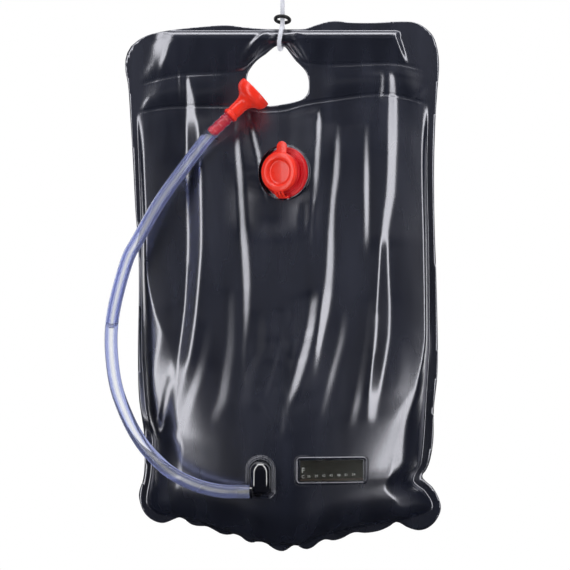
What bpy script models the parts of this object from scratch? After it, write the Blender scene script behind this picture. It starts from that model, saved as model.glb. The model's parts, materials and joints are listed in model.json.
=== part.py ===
"""Camp shower bag: a hanging water bag of black film with a filler, a hose and a shower head.

Metres, +Z up, front towards -Y. The origin is where a hook bears on the rope's eye. The bag is two films
welded round their edge, with a carrying rod in a sleeve along the top and a hand hole under it.
"""

import math

import bmesh
import bpy
import numpy as np
from mathutils import Matrix, Vector

MM = 0.001

# Clearances
SEAT_GAP = 0.3 * MM
SLIP_GAP = 0.25 * MM
PATCH_GAP = 0.4 * MM

# Rope
ROPE_WIDE = 5.6 * MM
STRAND_GAP = 0.2 * MM
HOOK_TO_ROD = 146.0 * MM
KNOT_ABOVE_ROD = 54.0 * MM
KNOT_TALL = 26.0 * MM
KNOT_WIDE = 18.4 * MM
EYE_WIDE = 32.0 * MM

# Ring on the rope
RING_WIDE = 20.6 * MM
RING_THICK = 3.8 * MM
RING_ABOVE_ROD = 21.5 * MM
RING_TILT = math.radians(20.0)
RING_ROLL = math.radians(6.0)

# Film and carrying rod
FILM = 0.6 * MM
FLANGE = 10.0 * MM
TRIM = 9.0 * MM
LEAST_ROOM = 2.4 * MM
SLEEVE_SLACK = 0.4 * MM
ROD_WIDE = 12.0 * MM
ROD_WALL = 1.5 * MM
ROD_LONG = 257.0 * MM
ROD_SHIFT = 2.9 * MM

# Bag, with depths measured down from the rod's axis
BAG_WIDE = 360.0 * MM
ROD_TO_SEAM = 590.0 * MM
BAND_PUFF = 2.5 * MM
FRONT_BULGE = 58.0 * MM
BACK_BULGE = 50.0 * MM
FOLD_SPREAD = 26.0 * MM
FOLD_STEP = 2.0 * MM
FOLD_STARTS = (-0.62, -0.42)
FOLD_ENDS = (0.3, 0.72)

# Filler
FILLER_SHIFT = 2.7 * MM
FILLER_DOWN = 157.0 * MM
FILLER_OUT = 21.0 * MM
FILLER_TURN = math.radians(30.0)
FILLER_BORE = 31.0 * MM
FILLER_FLANGE = 58.0 * MM
FILLER_RIM = 6.0 * MM
FILLER_PROUD = 2.5 * MM
NECK_WIDE = 43.0 * MM
NECK_TALL = 10.0 * MM
STEP_WIDE = 49.0 * MM
STEP_TALL = 4.0 * MM
CAP_WIDE = 46.0 * MM
CAP_TALL = 6.0 * MM
CAP_RECESS = 27.0 * MM
PLUG_DEEP = 14.0 * MM
PLUG_LIP = 0.8 * MM
PLUG_WAIST = 0.9 * MM
PLUG_WALL = 1.6 * MM
CAP_HOLLOW = 7.5 * MM
TAB_WIDE = 12.0 * MM
TAB_LONG = 12.0 * MM
HINGE_RADIUS = 28.5 * MM
HINGE_HEIGHT = 4.6 * MM
HINGE_BARREL = 2.6 * MM
HINGE_BARS = 3
HINGE_PITCH = 4.4 * MM
HINGE_BAR = 2.2 * MM

# Outlet
OUTLET_SHIFT = -25.0 * MM
OUTLET_DOWN = 503.0 * MM
PAD_WIDE = 35.0 * MM
PAD_TALL = 50.0 * MM
ELBOW_WIDE = 24.0 * MM
ELBOW_TALL = 36.0 * MM
ELBOW_OUT = 18.0 * MM
ELBOW_ROUND = 4.0 * MM
STUB_DOWN = 519.5 * MM
STUB_BORE = 6.4 * MM
STUB_OUT = 10.6 * MM

# Thermometer
THERMO_SHIFT = 56.0 * MM
THERMO_DOWN = 497.0 * MM
FRAME_WIDE = 83.0 * MM
FRAME_TALL = 32.0 * MM
FRAME_BEAD = 3.2 * MM
STRIP_THICK = 0.5 * MM

# Hose
HOSE_WIDE = 15.0 * MM
HOSE_BORE = 11.0 * MM
HOSE_FINENESS = 3
HOSE_GRIP = 0.5 * HOSE_BORE * math.cos(math.pi / (4 + 2 * HOSE_FINENESS)) - SEAT_GAP

# Shower head, measured back along its axis from the spray face
HEAD_SHIFT = -30.3 * MM
HEAD_OUT = 26.0 * MM
HEAD_DOWN = 64.0 * MM
HEAD_WAY = Vector((0.727, 0.0, 0.687)).normalized()
HEAD_WIDE = 41.0 * MM
HEAD_FLARE = 16.0 * MM
STEM_WIDE = 16.0 * MM
STEM_END = 41.5 * MM
STEM_BORE = 12.4 * MM
LIP_WIDE = 18.0 * MM
LIP_LONG = 2.5 * MM
COLLAR_LONG = 1.4 * MM
BARB_LONG = 28.0 * MM
PLATE_THICK = 2.2 * MM
PLATE_WALL = 1.5 * MM
O_RING_THICK = 1.1 * MM

ROD_Z = -HOOK_TO_ROD
TURN_SIDES = 28

# The lists below are in millimetres, for a bag 360 wide and 590 from its rod to its seam
ACROSS = BAG_WIDE / 360
DOWN = ROD_TO_SEAM / 590

# The cut edge of both films, clockwise from the left end of the top: places across and depths
OUTLINE = [
    (-160, -1.6), (-146, -6), (-125, -9.7), (-97, -12.6), (-66, -14.8), (-45, -12.4), (-20, -10.4), (8, -10),
    (26, -10.6), (36, -14), (47, -17.4), (61, -19.7), (80, -17.8), (104, -17.5), (128, -18.8), (146, -19),
    (157, -16.8), (167, -10.5), (175, -1.5), (180, 14), (181.6, 34), (179.4, 64), (177.2, 100), (175.8, 153),
    (176.4, 215), (178.4, 275), (180, 345), (179.6, 390), (175.6, 430), (175, 465), (171, 490), (166, 502),
    (161.4, 507.6), (166, 514), (174, 521), (181, 533), (183.8, 546), (178.5, 559), (169, 568), (157.5, 571),
    (145, 567.6), (137, 562.8), (131, 561.4), (123.5, 566.6), (112, 571.6), (97, 574), (85, 573.2),
    (78, 575.2),
    (69.5, 580), (59, 582.8), (50, 581.4), (42.5, 584.6), (35, 590.6), (27.5, 593), (20, 590.4), (14, 587),
    (7.5, 592), (0, 595.3), (-8, 593.4), (-15, 588.8), (-22, 583.6), (-28, 583.4), (-35.5, 585.4),
    (-43, 582.6), (-49.5, 577), (-55.5, 574.8), (-62.5, 576.2), (-71, 575), (-80, 570.2), (-88, 566.4),
    (-98, 566), (-106, 564),
    (-113, 558.6), (-118.5, 555.4), (-126, 558.2), (-139, 562.6), (-152, 558.4), (-161.5, 548.5),
    (-166.4, 533),
    (-165.4, 523), (-161.8, 512), (-160, 495), (-160.4, 462), (-163, 440), (-166.6, 412), (-167.6, 360),
    (-166.6, 290), (-167.4, 240), (-170.6, 200), (-173.6, 140), (-176.6, 90), (-179, 56), (-182.4, 36),
    (-181, 20), (-174, 8),
]
# How far each side edge lies inside the widest line, by depth
LEFT_INSET = [
    (-20, 58), (-13, 45), (-6, 28), (0, 14), (14, 3), (40, 0), (80, 3), (150, 9), (245, 15),
    (340, 12.4), (420, 13.5), (455, 20), (490, 18), (530, 12.5), (550, 17), (575, 36),
]
RIGHT_INSET = [
    (-20, 24), (-13, 14), (-6, 9), (0, 6), (14, 2), (40, 0), (80, 2), (150, 5), (245, 3),
    (340, 1), (420, 5), (455, 6), (490, 10), (507, 19), (524, 5), (545, -4), (575, 16),
]
# Depth of the weld under the sleeve, which climbs to the rod where the rope gathers it
UPPER_WELD = [
    (-180, 57), (-118, 43), (-60, 40), (-46, 38), (-35, 28.5), (-27.6, 21), (-18.8, 14.5), (-11, 9.6),
    (-5, 8.1), (0, 8.1), (4.5, 9.2), (9.6, 14.6), (16, 22), (23, 27), (32, 30), (49, 31.3), (122, 29),
    (180, 40),
]
# Depth of the weld that closes the top of the water chamber
LOWER_WELD = [(-180, 88), (-118, 79), (-50, 79), (-24, 84), (26, 83.5), (44, 73), (118, 65), (180, 79)]
# Rise of the bottom seam above its lowest point
SEAM_LIFT = [
    (-180, 64), (-165, 56), (-146, 39), (-124, 34), (-96, 27), (-53, 13), (-24, 4), (9, 0),
    (47, 12), (78, 20), (113, 27), (134, 30), (160, 37), (186, 47),
]
# Share of the full bulge on the way down from the lower weld to the bottom seam
BULGE_SHARE = [
    (0, 0), (0.05, 0.13), (0.15, 0.37), (0.28, 0.47), (0.44, 0.6), (0.6, 0.78), (0.74, 0.95),
    (0.84, 1), (0.91, 0.95), (0.96, 0.74), (0.985, 0.46), (1, 0),
]
# Where the film turns down to its side weld, by the share of the way down: a share of the half width
LEFT_KNEE = [(0, 0.96), (0.4, 0.96), (0.5, 0.9), (0.58, 0.8), (0.66, 0.76), (0.8, 0.76), (1, 0.8)]
RIGHT_KNEE = [(0, 0.965), (0.56, 0.965), (0.62, 0.95), (0.7, 0.9), (0.78, 0.8), (0.84, 0.76), (1, 0.78)]
# Main folds of the front film, each as (depth, place across, width, slope) down its length. Across its
# width a fold's slope comes in over FOLD_STARTS and goes out over FOLD_ENDS, in shares of that width.
MAIN_FOLDS = [
    [(88, -106, 11, 0.44), (120, -104, 14, 0.85), (235, -101, 16, 0.95), (315, -106, 13, 0.95),
     (364, -112, 12, 0.85), (415, -120, 4, 0.3)],
    [(100, -53.5, 3, 0.44), (135, -51, 7.5, 0.44), (204, -46.5, 9, 0.44), (265, -42, 10.4, 0.44),
     (328, -41.5, 8, 0.44), (390, -44.6, 6, 0.2)],
    [(85, 42.4, 2.5, -0.44), (121, 41, 7, -0.44), (181, 37.3, 7, -0.4), (229, 33, 5, -0.26)],
    [(109, 64, 6, -0.26), (157, 62, 9, -0.44), (217, 56, 8, -0.44), (289, 52, 10.4, -0.44),
     (351, 42.4, 6.5, -0.4), (385, 38, 6, -0.2)],
    [(111, 97, 5, -0.24), (160, 96.7, 7, -0.4), (204, 96.7, 6.6, -0.44), (246, 96, 6, -0.22)],
    [(88, 127.5, 10, -0.44), (180, 124, 10.5, -0.44), (228, 117.6, 8.5, -0.5), (289, 115.7, 12, -0.92),
     (340, 114, 15.6, -0.95), (399, 106, 12.5, -0.75), (438, 101.7, 9, -0.36)],
    [(309, -58.4, 8.6, 0.3), (351, -59, 10.3, 0.37), (388, -63.7, 11.4, 0.38), (435, -75.8, 9.7, 0.26)],
    [(309, 35.7, 10.8, 0.31), (375, 22, 12, 0.44), (405, 12.6, 11.4, 0.4), (452, 1.5, 5, 0.3)],
    [(328, 70.8, 8, -0.28), (388, 57.2, 8.5, -0.37), (431, 46, 6.8, -0.2)],
    [(315, 101.3, 8.6, -0.32), (388, 90.5, 9, -0.38), (441, 80.7, 8, -0.28)],
]
# Hand hole, as places across and depths
HAND_HOLE = [
    (-3, 8.9), (3, 10.5), (9.6, 18.9), (15.9, 26.9), (23, 34), (28, 41), (30.5, 50), (30.2, 61), (27, 67.5),
    (20, 72.5), (0, 77), (-16, 79), (-32, 77.5), (-40, 68), (-42, 54), (-41, 45), (-39.5, 39.5),
    (-34.8, 32), (-27.6, 24.4), (-18.8, 18.2), (-9, 10.2),
]
# Hose route from the outlet stub to the shower head: across, out and down
HOSE_ROUTE = [
    (-88, -69, 518), (-111, -67, 509), (-134, -63.5, 495), (-151, -60, 477), (-163, -56.5, 462),
    (-175, -53, 440), (-188, -48.5, 406), (-194, -45, 372), (-195, -42.5, 338), (-190, -41, 304),
    (-177, -40.5, 258), (-165, -40, 235), (-139, -37, 189.5), (-108, -31, 146),
]
# Rope's turn under the sleeve, from the front strand to the back one: across, out and up from the rod
ROPE_TURN = [
    (-0.5, -4.4, 13.4), (-1.6, -8.3, 7.6), (-3.0, -11.4, 0.6), (-3.9, -10.5, -6.2), (-3.7, -6.3, -11.2),
    (-2.8, 0, -12.8), (-1.6, 6.3, -11.2), (-0.6, 10.5, -6.2), (0, 11.4, 0.6), (0, 8.3, 7.6), (0, 4.4, 13.4),
]


def smooth(points, at):
    """Value at one place on a smooth curve through points that never overshoots them."""
    places, values = np.array(points, dtype=float).T
    steps = np.diff(values) / np.diff(places)
    slopes = np.zeros(len(values))
    for i in range(1, len(values) - 1):
        if steps[i - 1] * steps[i] > 0:
            slopes[i] = 2 * steps[i - 1] * steps[i] / (steps[i - 1] + steps[i])
    slopes[0], slopes[-1] = steps[0], steps[-1]
    i = int(np.clip(np.searchsorted(places, at) - 1, 0, len(places) - 2))
    span = places[i + 1] - places[i]
    f = min(max((at - places[i]) / span, 0.0), 1.0)
    rise = values[i + 1] - values[i]
    start, end = slopes[i] * span, slopes[i + 1] * span
    return values[i] + f * (start + f * (3 * rise - 2 * start - end + f * (start + end - 2 * rise)))


def ease(low, high, value):
    f = min(max((value - low) / (high - low), 0.0), 1.0)
    return f * f * (3 - 2 * f)


def through(points, step, before=None, after=None):
    """Points at an even step along a smooth curve through the given ones, led in and out by two more."""
    pts = [Vector(p) for p in points]
    ends = [before or 2 * pts[0] - pts[1]] + pts + [after or 2 * pts[-1] - pts[-2]]
    fine = []
    for a, b, c, d in zip(ends, ends[1:], ends[2:], ends[3:]):
        for k in range(16):
            t = k / 16
            bend = a - 2.5 * b + 2 * c - 0.5 * d
            turn = 1.5 * (b - c) + 0.5 * (d - a)
            fine.append(b + t * (0.5 * (c - a) + t * (bend + t * turn)))
    fine.append(pts[-1])
    travelled = np.concatenate(([0.0], np.cumsum([(b - a).length for a, b in zip(fine, fine[1:])])))
    count = max(2, round(travelled[-1] / step))
    places = np.linspace(0, travelled[-1], count + 1)
    return [Vector([np.interp(s, travelled, [p[axis] for p in fine]) for axis in range(3)]) for s in places]


def clear_scene():
    for obj in list(bpy.data.objects):
        bpy.data.objects.remove(obj, do_unlink=True)


def new_collection(name):
    group = bpy.data.collections.new(name)
    bpy.context.scene.collection.children.link(group)
    return group


def make_material(name, color, roughness, alpha=1.0):
    material = bpy.data.materials.new(name)
    material.use_nodes = True
    shader = material.node_tree.nodes["Principled BSDF"]
    shader.inputs["Base Color"].default_value = (*color, 1.0)
    shader.inputs["Roughness"].default_value = roughness
    shader.inputs["Alpha"].default_value = alpha
    material.diffuse_color = (*color, alpha)
    return material


def add_object(name, data, material=None, guide=False):
    obj = bpy.data.objects.new(name, data)
    (GUIDES if guide else BAG).objects.link(obj)
    if material:
        data.materials.append(material)
    if guide:
        obj.hide_render = True
        obj.display_type = "WIRE"
    return obj


def place(obj, origin, way, up):
    """Put an object's own Z along a direction, with its Y as near as can be to another."""
    z = Vector(way).normalized()
    x = Vector(up).cross(z).normalized()
    y = z.cross(x)
    turn = Matrix((x, y, z)).transposed().to_4x4()
    obj.matrix_world = Matrix.Translation(origin) @ turn
    return obj


def shade(obj):
    obj.data.shade_smooth()
    obj.data.set_sharp_from_angle(angle=math.radians(40))


def turned(name, profile, material=None, guide=False, closed=False, sides=TURN_SIDES):
    """A turned solid from (radius, height) points that run down its outer side."""
    mesh = bpy.data.meshes.new(name)
    edges = [(i, i + 1) for i in range(len(profile) - 1)]
    if closed:
        edges.append((len(profile) - 1, 0))
    mesh.from_pydata([(r, 0.0, h) for r, h in profile], edges, [])
    obj = add_object(name, mesh, material, guide)
    screw = obj.modifiers.new("Turn", "SCREW")
    screw.steps = sides
    screw.render_steps = sides
    screw.use_merge_vertices = True
    screw.merge_threshold = 0.00001
    screw.use_smooth_shade = True
    return obj


def made_mesh(curve_obj, material=None, guide=False):
    """Turn a curve object into a mesh object with its caps welded on."""
    bpy.context.view_layer.update()
    graph = bpy.context.evaluated_depsgraph_get()
    mesh = bpy.data.meshes.new_from_object(curve_obj.evaluated_get(graph))
    welded = bmesh.new()
    welded.from_mesh(mesh)
    bmesh.ops.remove_doubles(welded, verts=welded.verts, dist=0.00001)
    bmesh.ops.recalc_face_normals(welded, faces=welded.faces)
    welded.to_mesh(mesh)
    welded.free()
    name, matrix = curve_obj.name, curve_obj.matrix_world.copy()
    bpy.data.objects.remove(curve_obj, do_unlink=True)
    mesh.materials.clear()
    obj = add_object(name, mesh, material, guide)
    obj.matrix_world = matrix
    return obj


def tube(name, points, width, material=None, guide=False, fineness=HOSE_FINENESS):
    curve = bpy.data.curves.new(name, "CURVE")
    curve.dimensions = "3D"
    curve.bevel_depth = width / 2
    curve.bevel_resolution = fineness
    curve.use_fill_caps = True
    line = curve.splines.new("POLY")
    line.points.add(len(points) - 1)
    for spot, p in zip(line.points, points):
        spot.co = (*p, 1.0)
    return add_object(name, curve, material, guide)


def slab(name, outline, thick, material=None, guide=False, holes=()):
    """A flat outline in its own XY plane, filled round its holes and given a thickness along Z."""
    curve = bpy.data.curves.new(name, "CURVE")
    curve.dimensions = "2D"
    curve.fill_mode = "BOTH"
    curve.extrude = thick / 2
    for loop in (outline, *holes):
        line = curve.splines.new("POLY")
        line.points.add(len(loop) - 1)
        for spot, p in zip(line.points, loop):
            spot.co = (p[0], p[1], 0.0, 1.0)
        line.use_cyclic_u = True
    return made_mesh(add_object(name, curve, None, guide), material, guide)


def box(name, low, high, material=None, guide=False):
    mesh = bpy.data.meshes.new(name)
    solid = bmesh.new()
    bmesh.ops.create_cube(solid, size=1.0)
    bmesh.ops.scale(solid, vec=Vector(high) - Vector(low), verts=solid.verts)
    bmesh.ops.translate(solid, vec=(Vector(high) + Vector(low)) / 2, verts=solid.verts)
    solid.to_mesh(mesh)
    solid.free()
    return add_object(name, mesh, material, guide)


def rod_shape(name, start, end, width, guide=True, sides=20, material=None):
    """A plain round bar between two points."""
    start, end = Vector(start), Vector(end)
    mesh = bpy.data.meshes.new(name)
    solid = bmesh.new()
    bmesh.ops.create_cone(
        solid, cap_ends=True, segments=sides, radius1=width / 2, radius2=width / 2, depth=(end - start).length
    )
    solid.to_mesh(mesh)
    solid.free()
    obj = add_object(name, mesh, material, guide)
    way = end - start
    side = Vector((0, 0, 1)) if abs(way.normalized().z) < 0.9 else Vector((1, 0, 0))
    return place(obj, (start + end) / 2, way, side)


def ride_with(obj, local, carrier):
    """Place a helper in another object's own axes."""
    obj.matrix_world = carrier.matrix_world @ local
    return obj


def combine(obj, other, operation):
    step = obj.modifiers.new(operation.title(), "BOOLEAN")
    step.operation = operation
    step.solver = "EXACT"
    step.object = other


def torus(name, width, thick, material, across, around):
    """A round ring in its own XY plane."""
    radius = (width - thick) / 2
    profile = [
        (radius + thick / 2 * math.cos(a), thick / 2 * math.sin(a))
        for a in (math.pi / 2 - 2 * math.pi * k / around for k in range(around))
    ]
    return turned(name, profile, material, closed=True, sides=across)


def arch(wide, tall, steps=8):
    """An outline with a round top and a flat foot, centred on its own middle."""
    half = wide / 2
    shoulder = tall / 2 - half
    corner = 0.18 * wide
    foot = [(-half, -tall / 2 + corner), (-half + corner, -tall / 2)]
    foot += [(half - corner, -tall / 2), (half, -tall / 2 + corner)]
    angles = [math.pi * k / steps for k in range(steps + 1)]
    return foot + [(half * math.cos(a), shoulder + half * math.sin(a)) for a in angles]


def rounded_box(wide, tall, corner, steps=4):
    outline = []
    for quarter in range(4):
        cx = (wide / 2 - corner) * (1 if quarter in (0, 3) else -1)
        cy = (tall / 2 - corner) * (1 if quarter in (0, 1) else -1)
        for k in range(steps + 1):
            a = math.pi / 2 * (quarter + k / steps)
            outline.append((cx + corner * math.cos(a), cy + corner * math.sin(a)))
    return outline


def upper_weld(x):
    return smooth(UPPER_WELD, x / ACROSS) * MM


def lower_weld(x):
    return smooth(LOWER_WELD, x / ACROSS) * DOWN


def seam(x):
    return ROD_TO_SEAM - smooth(SEAM_LIFT, x / ACROSS) * DOWN


def left_edge(depth):
    return -BAG_WIDE / 2 + smooth(LEFT_INSET, depth / DOWN) * ACROSS


def right_edge(depth):
    return BAG_WIDE / 2 - smooth(RIGHT_INSET, depth / DOWN) * ACROSS


WELDED = SEAT_GAP / 2 + FILM
CORNER_X = BAG_WIDE / 2 - FLANGE
SIDE_TURN = 0.985 * CORNER_X


def chamber_span(share):
    """Left and right inner weld of the chamber, this share of the way down it."""
    left_depth = lower_weld(-CORNER_X) + share * (seam(-CORNER_X) - lower_weld(-CORNER_X))
    right_depth = lower_weld(CORNER_X) + share * (seam(CORNER_X) - lower_weld(CORNER_X))
    return left_edge(left_depth) + FLANGE, right_edge(right_depth) - FLANGE


FILLER_AXIS = Vector((-math.sin(FILLER_TURN), -math.cos(FILLER_TURN), 0.0))
FILLER_CENTRE = Vector((FILLER_SHIFT, -FILLER_OUT, ROD_Z - FILLER_DOWN))


def film_out(x, share, depth, bulge, tilted):
    """How far the film's outer face stands from the weld plane."""
    left, right = chamber_span(share)
    across = min(abs(2 * (x - left) / (right - left) - 1), 1.0)
    knee = smooth(LEFT_KNEE if x < 0 else RIGHT_KNEE, share)
    past_knee = max((across - knee) / (1 - knee), 0.0)
    out = WELDED + bulge * smooth(BULGE_SHARE, share) * (1 - 0.5 * across**1.6) * math.sqrt(1 - past_knee**2)
    if tilted:
        seat = FILLER_CENTRE - FILLER_PROUD * FILLER_AXIS
        slant = max(-seat.y + math.tan(FILLER_TURN) * (x - seat.x), LEAST_ROOM)
        away = math.hypot(x - seat.x, depth - FILLER_DOWN)
        reach = FILLER_FLANGE / 2
        weight = 1 - ease(reach + 2 * MM, reach + 31 * MM, away)
        out += weight * (slant - out)
    return out


def fold_slope(x, depth, plain):
    """Slope that the folds add to the film's plain sideways slope at one place."""
    total = 0.0
    for stations in MAIN_FOLDS:
        if not stations[0][0] * DOWN < depth < stations[-1][0] * DOWN:
            continue
        place, width, slope = (smooth([(s[0], s[k]) for s in stations], depth / DOWN) for k in (1, 2, 3))
        share = (x - place * ACROSS) / (width * ACROSS)
        total += (slope - plain) * ease(*FOLD_STARTS, share) * (1 - ease(*FOLD_ENDS, share))
    return total


def fold_rise(depth_at, out_at, share):
    """How far the folds lift the front film along one row: their slopes added up, less the slow drift."""
    x = np.arange(-CORNER_X, CORNER_X, FOLD_STEP)
    plain = np.gradient([out_at(at) for at in x], FOLD_STEP)
    slopes = [fold_slope(at, depth_at(at), slope) for at, slope in zip(x, plain)]
    height = np.cumsum(slopes) * FOLD_STEP
    reach = round(3 * FOLD_SPREAD / FOLD_STEP)
    kernel = np.exp(-0.5 * (np.arange(-reach, reach + 1) * FOLD_STEP / FOLD_SPREAD) ** 2)
    height -= np.convolve(np.pad(height, reach, mode="edge"), kernel / kernel.sum(), "valid")
    from_filler = np.array([math.hypot(at - FILLER_SHIFT, depth_at(at) - FILLER_DOWN) for at in x])
    room = [ease(2 * MM, 14 * MM, away - FILLER_FLANGE / 2) for away in from_filler]
    height *= np.array(room) * ease(0.0, 0.04, share) * (1 - ease(0.85, 0.92, share))
    return x, height


def front_y(x, depth):
    """The front film's outer face, at one place across and one depth in the chamber."""
    share = (depth - lower_weld(x)) / (seam(x) - lower_weld(x))
    return -film_out(x, min(max(share, 0.0), 1.0), depth, FRONT_BULGE, True)


ARC_ROWS = 5
ARC_TOP = math.radians(75)
ARC_FOOT = math.radians(62)
ARC_STEP = (ARC_TOP + ARC_FOOT) / (ARC_ROWS - 1)
SLEEVE_RADIUS = (ROD_WIDE / 2 + SEAT_GAP + SLEEVE_SLACK) / math.cos(ARC_STEP / 2) + FILM


def sleeve_open(x):
    """1 where the rod fills the sleeve, falling to almost nothing past its ends."""
    beyond = abs(x - ROD_SHIFT) - ROD_LONG / 2
    return 1 - 0.88 * ease(15 * MM, 40 * MM, beyond)


def sleeve_row(x, share):
    """Depth and stand-out of the film round the rod, then straight down to the weld under it."""
    foot = math.asin(min(SLEEVE_RADIUS / upper_weld(x), math.sin(ARC_FOOT)))
    arc_share = min(share / 0.8, 1.0)
    angle = ARC_TOP - arc_share * (ARC_TOP + foot)
    depth = -SLEEVE_RADIUS * math.sin(angle)
    out = SLEEVE_RADIUS * math.cos(angle) * sleeve_open(x)
    if share > 0.8:
        rest = (share - 0.8) / 0.2
        depth += rest * (upper_weld(x) - depth)
        out += rest * (WELDED - out)
    return depth, max(out, WELDED)


def band_out(x):
    """How far the film stands out between its two welds: nothing at the hand hole and at the sides."""
    beside_hole = ease(0.13, 0.21, abs(x / BAG_WIDE + 0.02))
    before_side = 1 - ease(0.39, 0.46, abs(x / BAG_WIDE))
    return WELDED + BAND_PUFF * beside_hole * before_side


def columns(fine, coarse):
    """Places across the bag, closer together over the hand hole, with one where each side turns down."""
    left, right = -0.962 * CORNER_X, 0.962 * CORNER_X
    hole_left, hole_right = -48 * ACROSS, 40 * ACROSS
    outer_left = np.linspace(left, hole_left, round((hole_left - left) / coarse) + 1)
    middle = np.linspace(hole_left, hole_right, round((hole_right - hole_left) / fine) + 1)
    outer_right = np.linspace(hole_right, right, round((right - hole_right) / coarse) + 1)
    inner = [*outer_left, *middle[1:], *outer_right[1:]]
    return np.array([-CORNER_X, -SIDE_TURN, *inner, SIDE_TURN, CORNER_X])


def film_panel(name, side, bulge, tilted, places, shares, material):
    """One film of the bag before its edge is cut: its outer face as a loft from the top to the bottom."""
    highest = min(depth for x, depth in OUTLINE) * DOWN
    lowest = max(depth for x, depth in OUTLINE) * DOWN
    sheet_half = max(abs(x) for x, depth in OUTLINE) * ACROSS + TRIM
    rows = []

    def add_row(depth_at, out_at):
        left = left_edge(depth_at(-CORNER_X)) + FLANGE
        right = right_edge(depth_at(CORNER_X)) - FLANGE
        inner = np.interp(places, (-CORNER_X, CORNER_X), (left, right))
        across = [-sheet_half, *inner, sheet_half]
        rows.append([(x, side * out_at(x), ROD_Z - depth_at(x)) for x in across])

    add_row(lambda x: highest - TRIM, lambda x: WELDED)
    add_row(lambda x: -SLEEVE_RADIUS - 0.6 * MM, lambda x: WELDED)
    for k in range(ARC_ROWS):
        share = 0.8 * k / (ARC_ROWS - 1)
        add_row(lambda x: sleeve_row(x, share)[0], lambda x: sleeve_row(x, share)[1])
    add_row(lambda x: sleeve_row(x, 0.9)[0], lambda x: sleeve_row(x, 0.9)[1])
    add_row(upper_weld, lambda x: WELDED)
    add_row(lambda x: (upper_weld(x) + lower_weld(x)) / 2, band_out)
    for share in shares:
        def depth_at(x):
            return lower_weld(x) + share * (seam(x) - lower_weld(x))

        def out_at(x):
            return film_out(x, share, depth_at(x), bulge, tilted)

        if not tilted:
            add_row(depth_at, out_at)
            continue
        at, rise = fold_rise(depth_at, out_at, share)
        lowest_out = min(LEAST_ROOM, WELDED + 20 * share * LEAST_ROOM)
        add_row(depth_at, lambda x: max(out_at(x) + np.interp(x, at, rise), min(lowest_out, out_at(x))))
    add_row(lambda x: lowest + TRIM, lambda x: WELDED)
    wide = len(rows[0])
    mesh = bpy.data.meshes.new(name)
    faces = []
    for r in range(len(rows) - 1):
        for c in range(wide - 1):
            corners = [r * wide + c, (r + 1) * wide + c, (r + 1) * wide + c + 1, r * wide + c + 1]
            faces.append(corners if side < 0 else corners[::-1])
    mesh.from_pydata([p for row in rows for p in row], [], faces)
    obj = add_object(name, mesh, material)
    skin = obj.modifiers.new("Film", "SOLIDIFY")
    skin.thickness = FILM
    skin.offset = -1.0
    skin.use_even_offset = True
    return obj


def hanging_slab(name, outline, thick, across, out, depth, material=None, guide=False, holes=()):
    """A slab that stands upright, facing the front."""
    obj = slab(name, outline, thick, material, guide, holes)
    obj.matrix_world = Matrix.Translation((across, out, ROD_Z - depth)) @ Matrix.Rotation(math.pi / 2, 4, "X")
    return obj


def closed_line(places, step):
    """An even run of points on a smooth closed line through places across and depths."""
    spots = [Vector((x * ACROSS, -depth * DOWN, 0)) for x, depth in places]
    return [(p.x, p.y) for p in through(spots + spots[:1], step, spots[-1], spots[1])][:-1]


def make_bag():
    fine_shares = [0, 0.03, 0.06, 0.09, 0.12, 0.15, 0.18, 0.215, 0.26, 0.33, 0.41, 0.5]
    fine_shares += [0.59, 0.68, 0.76, 0.83, 0.885, 0.93, 0.965, 0.988, 1]
    plain_shares = [0, 0.05, 0.12, 0.22, 0.35, 0.5, 0.65, 0.78, 0.88, 0.94, 0.98, 1]
    front_places, back_places = columns(9.5 * MM, 10 * MM), columns(9.5 * MM, 23 * MM)
    front = film_panel("front_panel", -1, FRONT_BULGE, True, front_places, fine_shares, FILM_BLACK)
    back = film_panel("back_panel", 1, BACK_BULGE, False, back_places, plain_shares, FILM_BLACK)

    sheet = hanging_slab("cut_edge", closed_line(OUTLINE, 8.5 * MM), 4 * FRONT_BULGE, 0, 0, 0, guide=True,
                         holes=[closed_line(HAND_HOLE, 6 * MM)])
    combine(front, sheet, "INTERSECT")
    combine(back, sheet, "INTERSECT")

    way = FILLER_AXIS * 20 * MM
    width = FILLER_FLANGE + 2 * SEAT_GAP
    mouth = rod_shape("filler_hole_cutter", FILLER_CENTRE - way, FILLER_CENTRE + way, width, sides=TURN_SIDES)
    combine(front, mouth, "DIFFERENCE")

    outlet = arch(ELBOW_WIDE + 2 * SEAT_GAP, ELBOW_TALL + 2 * SEAT_GAP)
    out = front_y(OUTLET_SHIFT, OUTLET_DOWN)
    port = hanging_slab("outlet_hole_cutter", outline=outlet, thick=30 * MM, across=OUTLET_SHIFT,
                        out=out, depth=OUTLET_DOWN, guide=True)
    combine(front, port, "DIFFERENCE")
    shade(front)
    shade(back)


def make_rod():
    half = ROD_LONG / 2
    bore = ROD_WIDE / 2 - ROD_WALL
    edge = 0.6 * MM
    profile = [(bore, half), (ROD_WIDE / 2 - edge, half), (ROD_WIDE / 2, half - edge)]
    profile += [(ROD_WIDE / 2, edge - half), (ROD_WIDE / 2 - edge, -half), (bore, -half)]
    rod = turned("carry_rod", profile, ROD_GREY, closed=True, sides=16)
    place(rod, (ROD_SHIFT, 0, ROD_Z), (1, 0, 0), (0, 0, 1))


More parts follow.
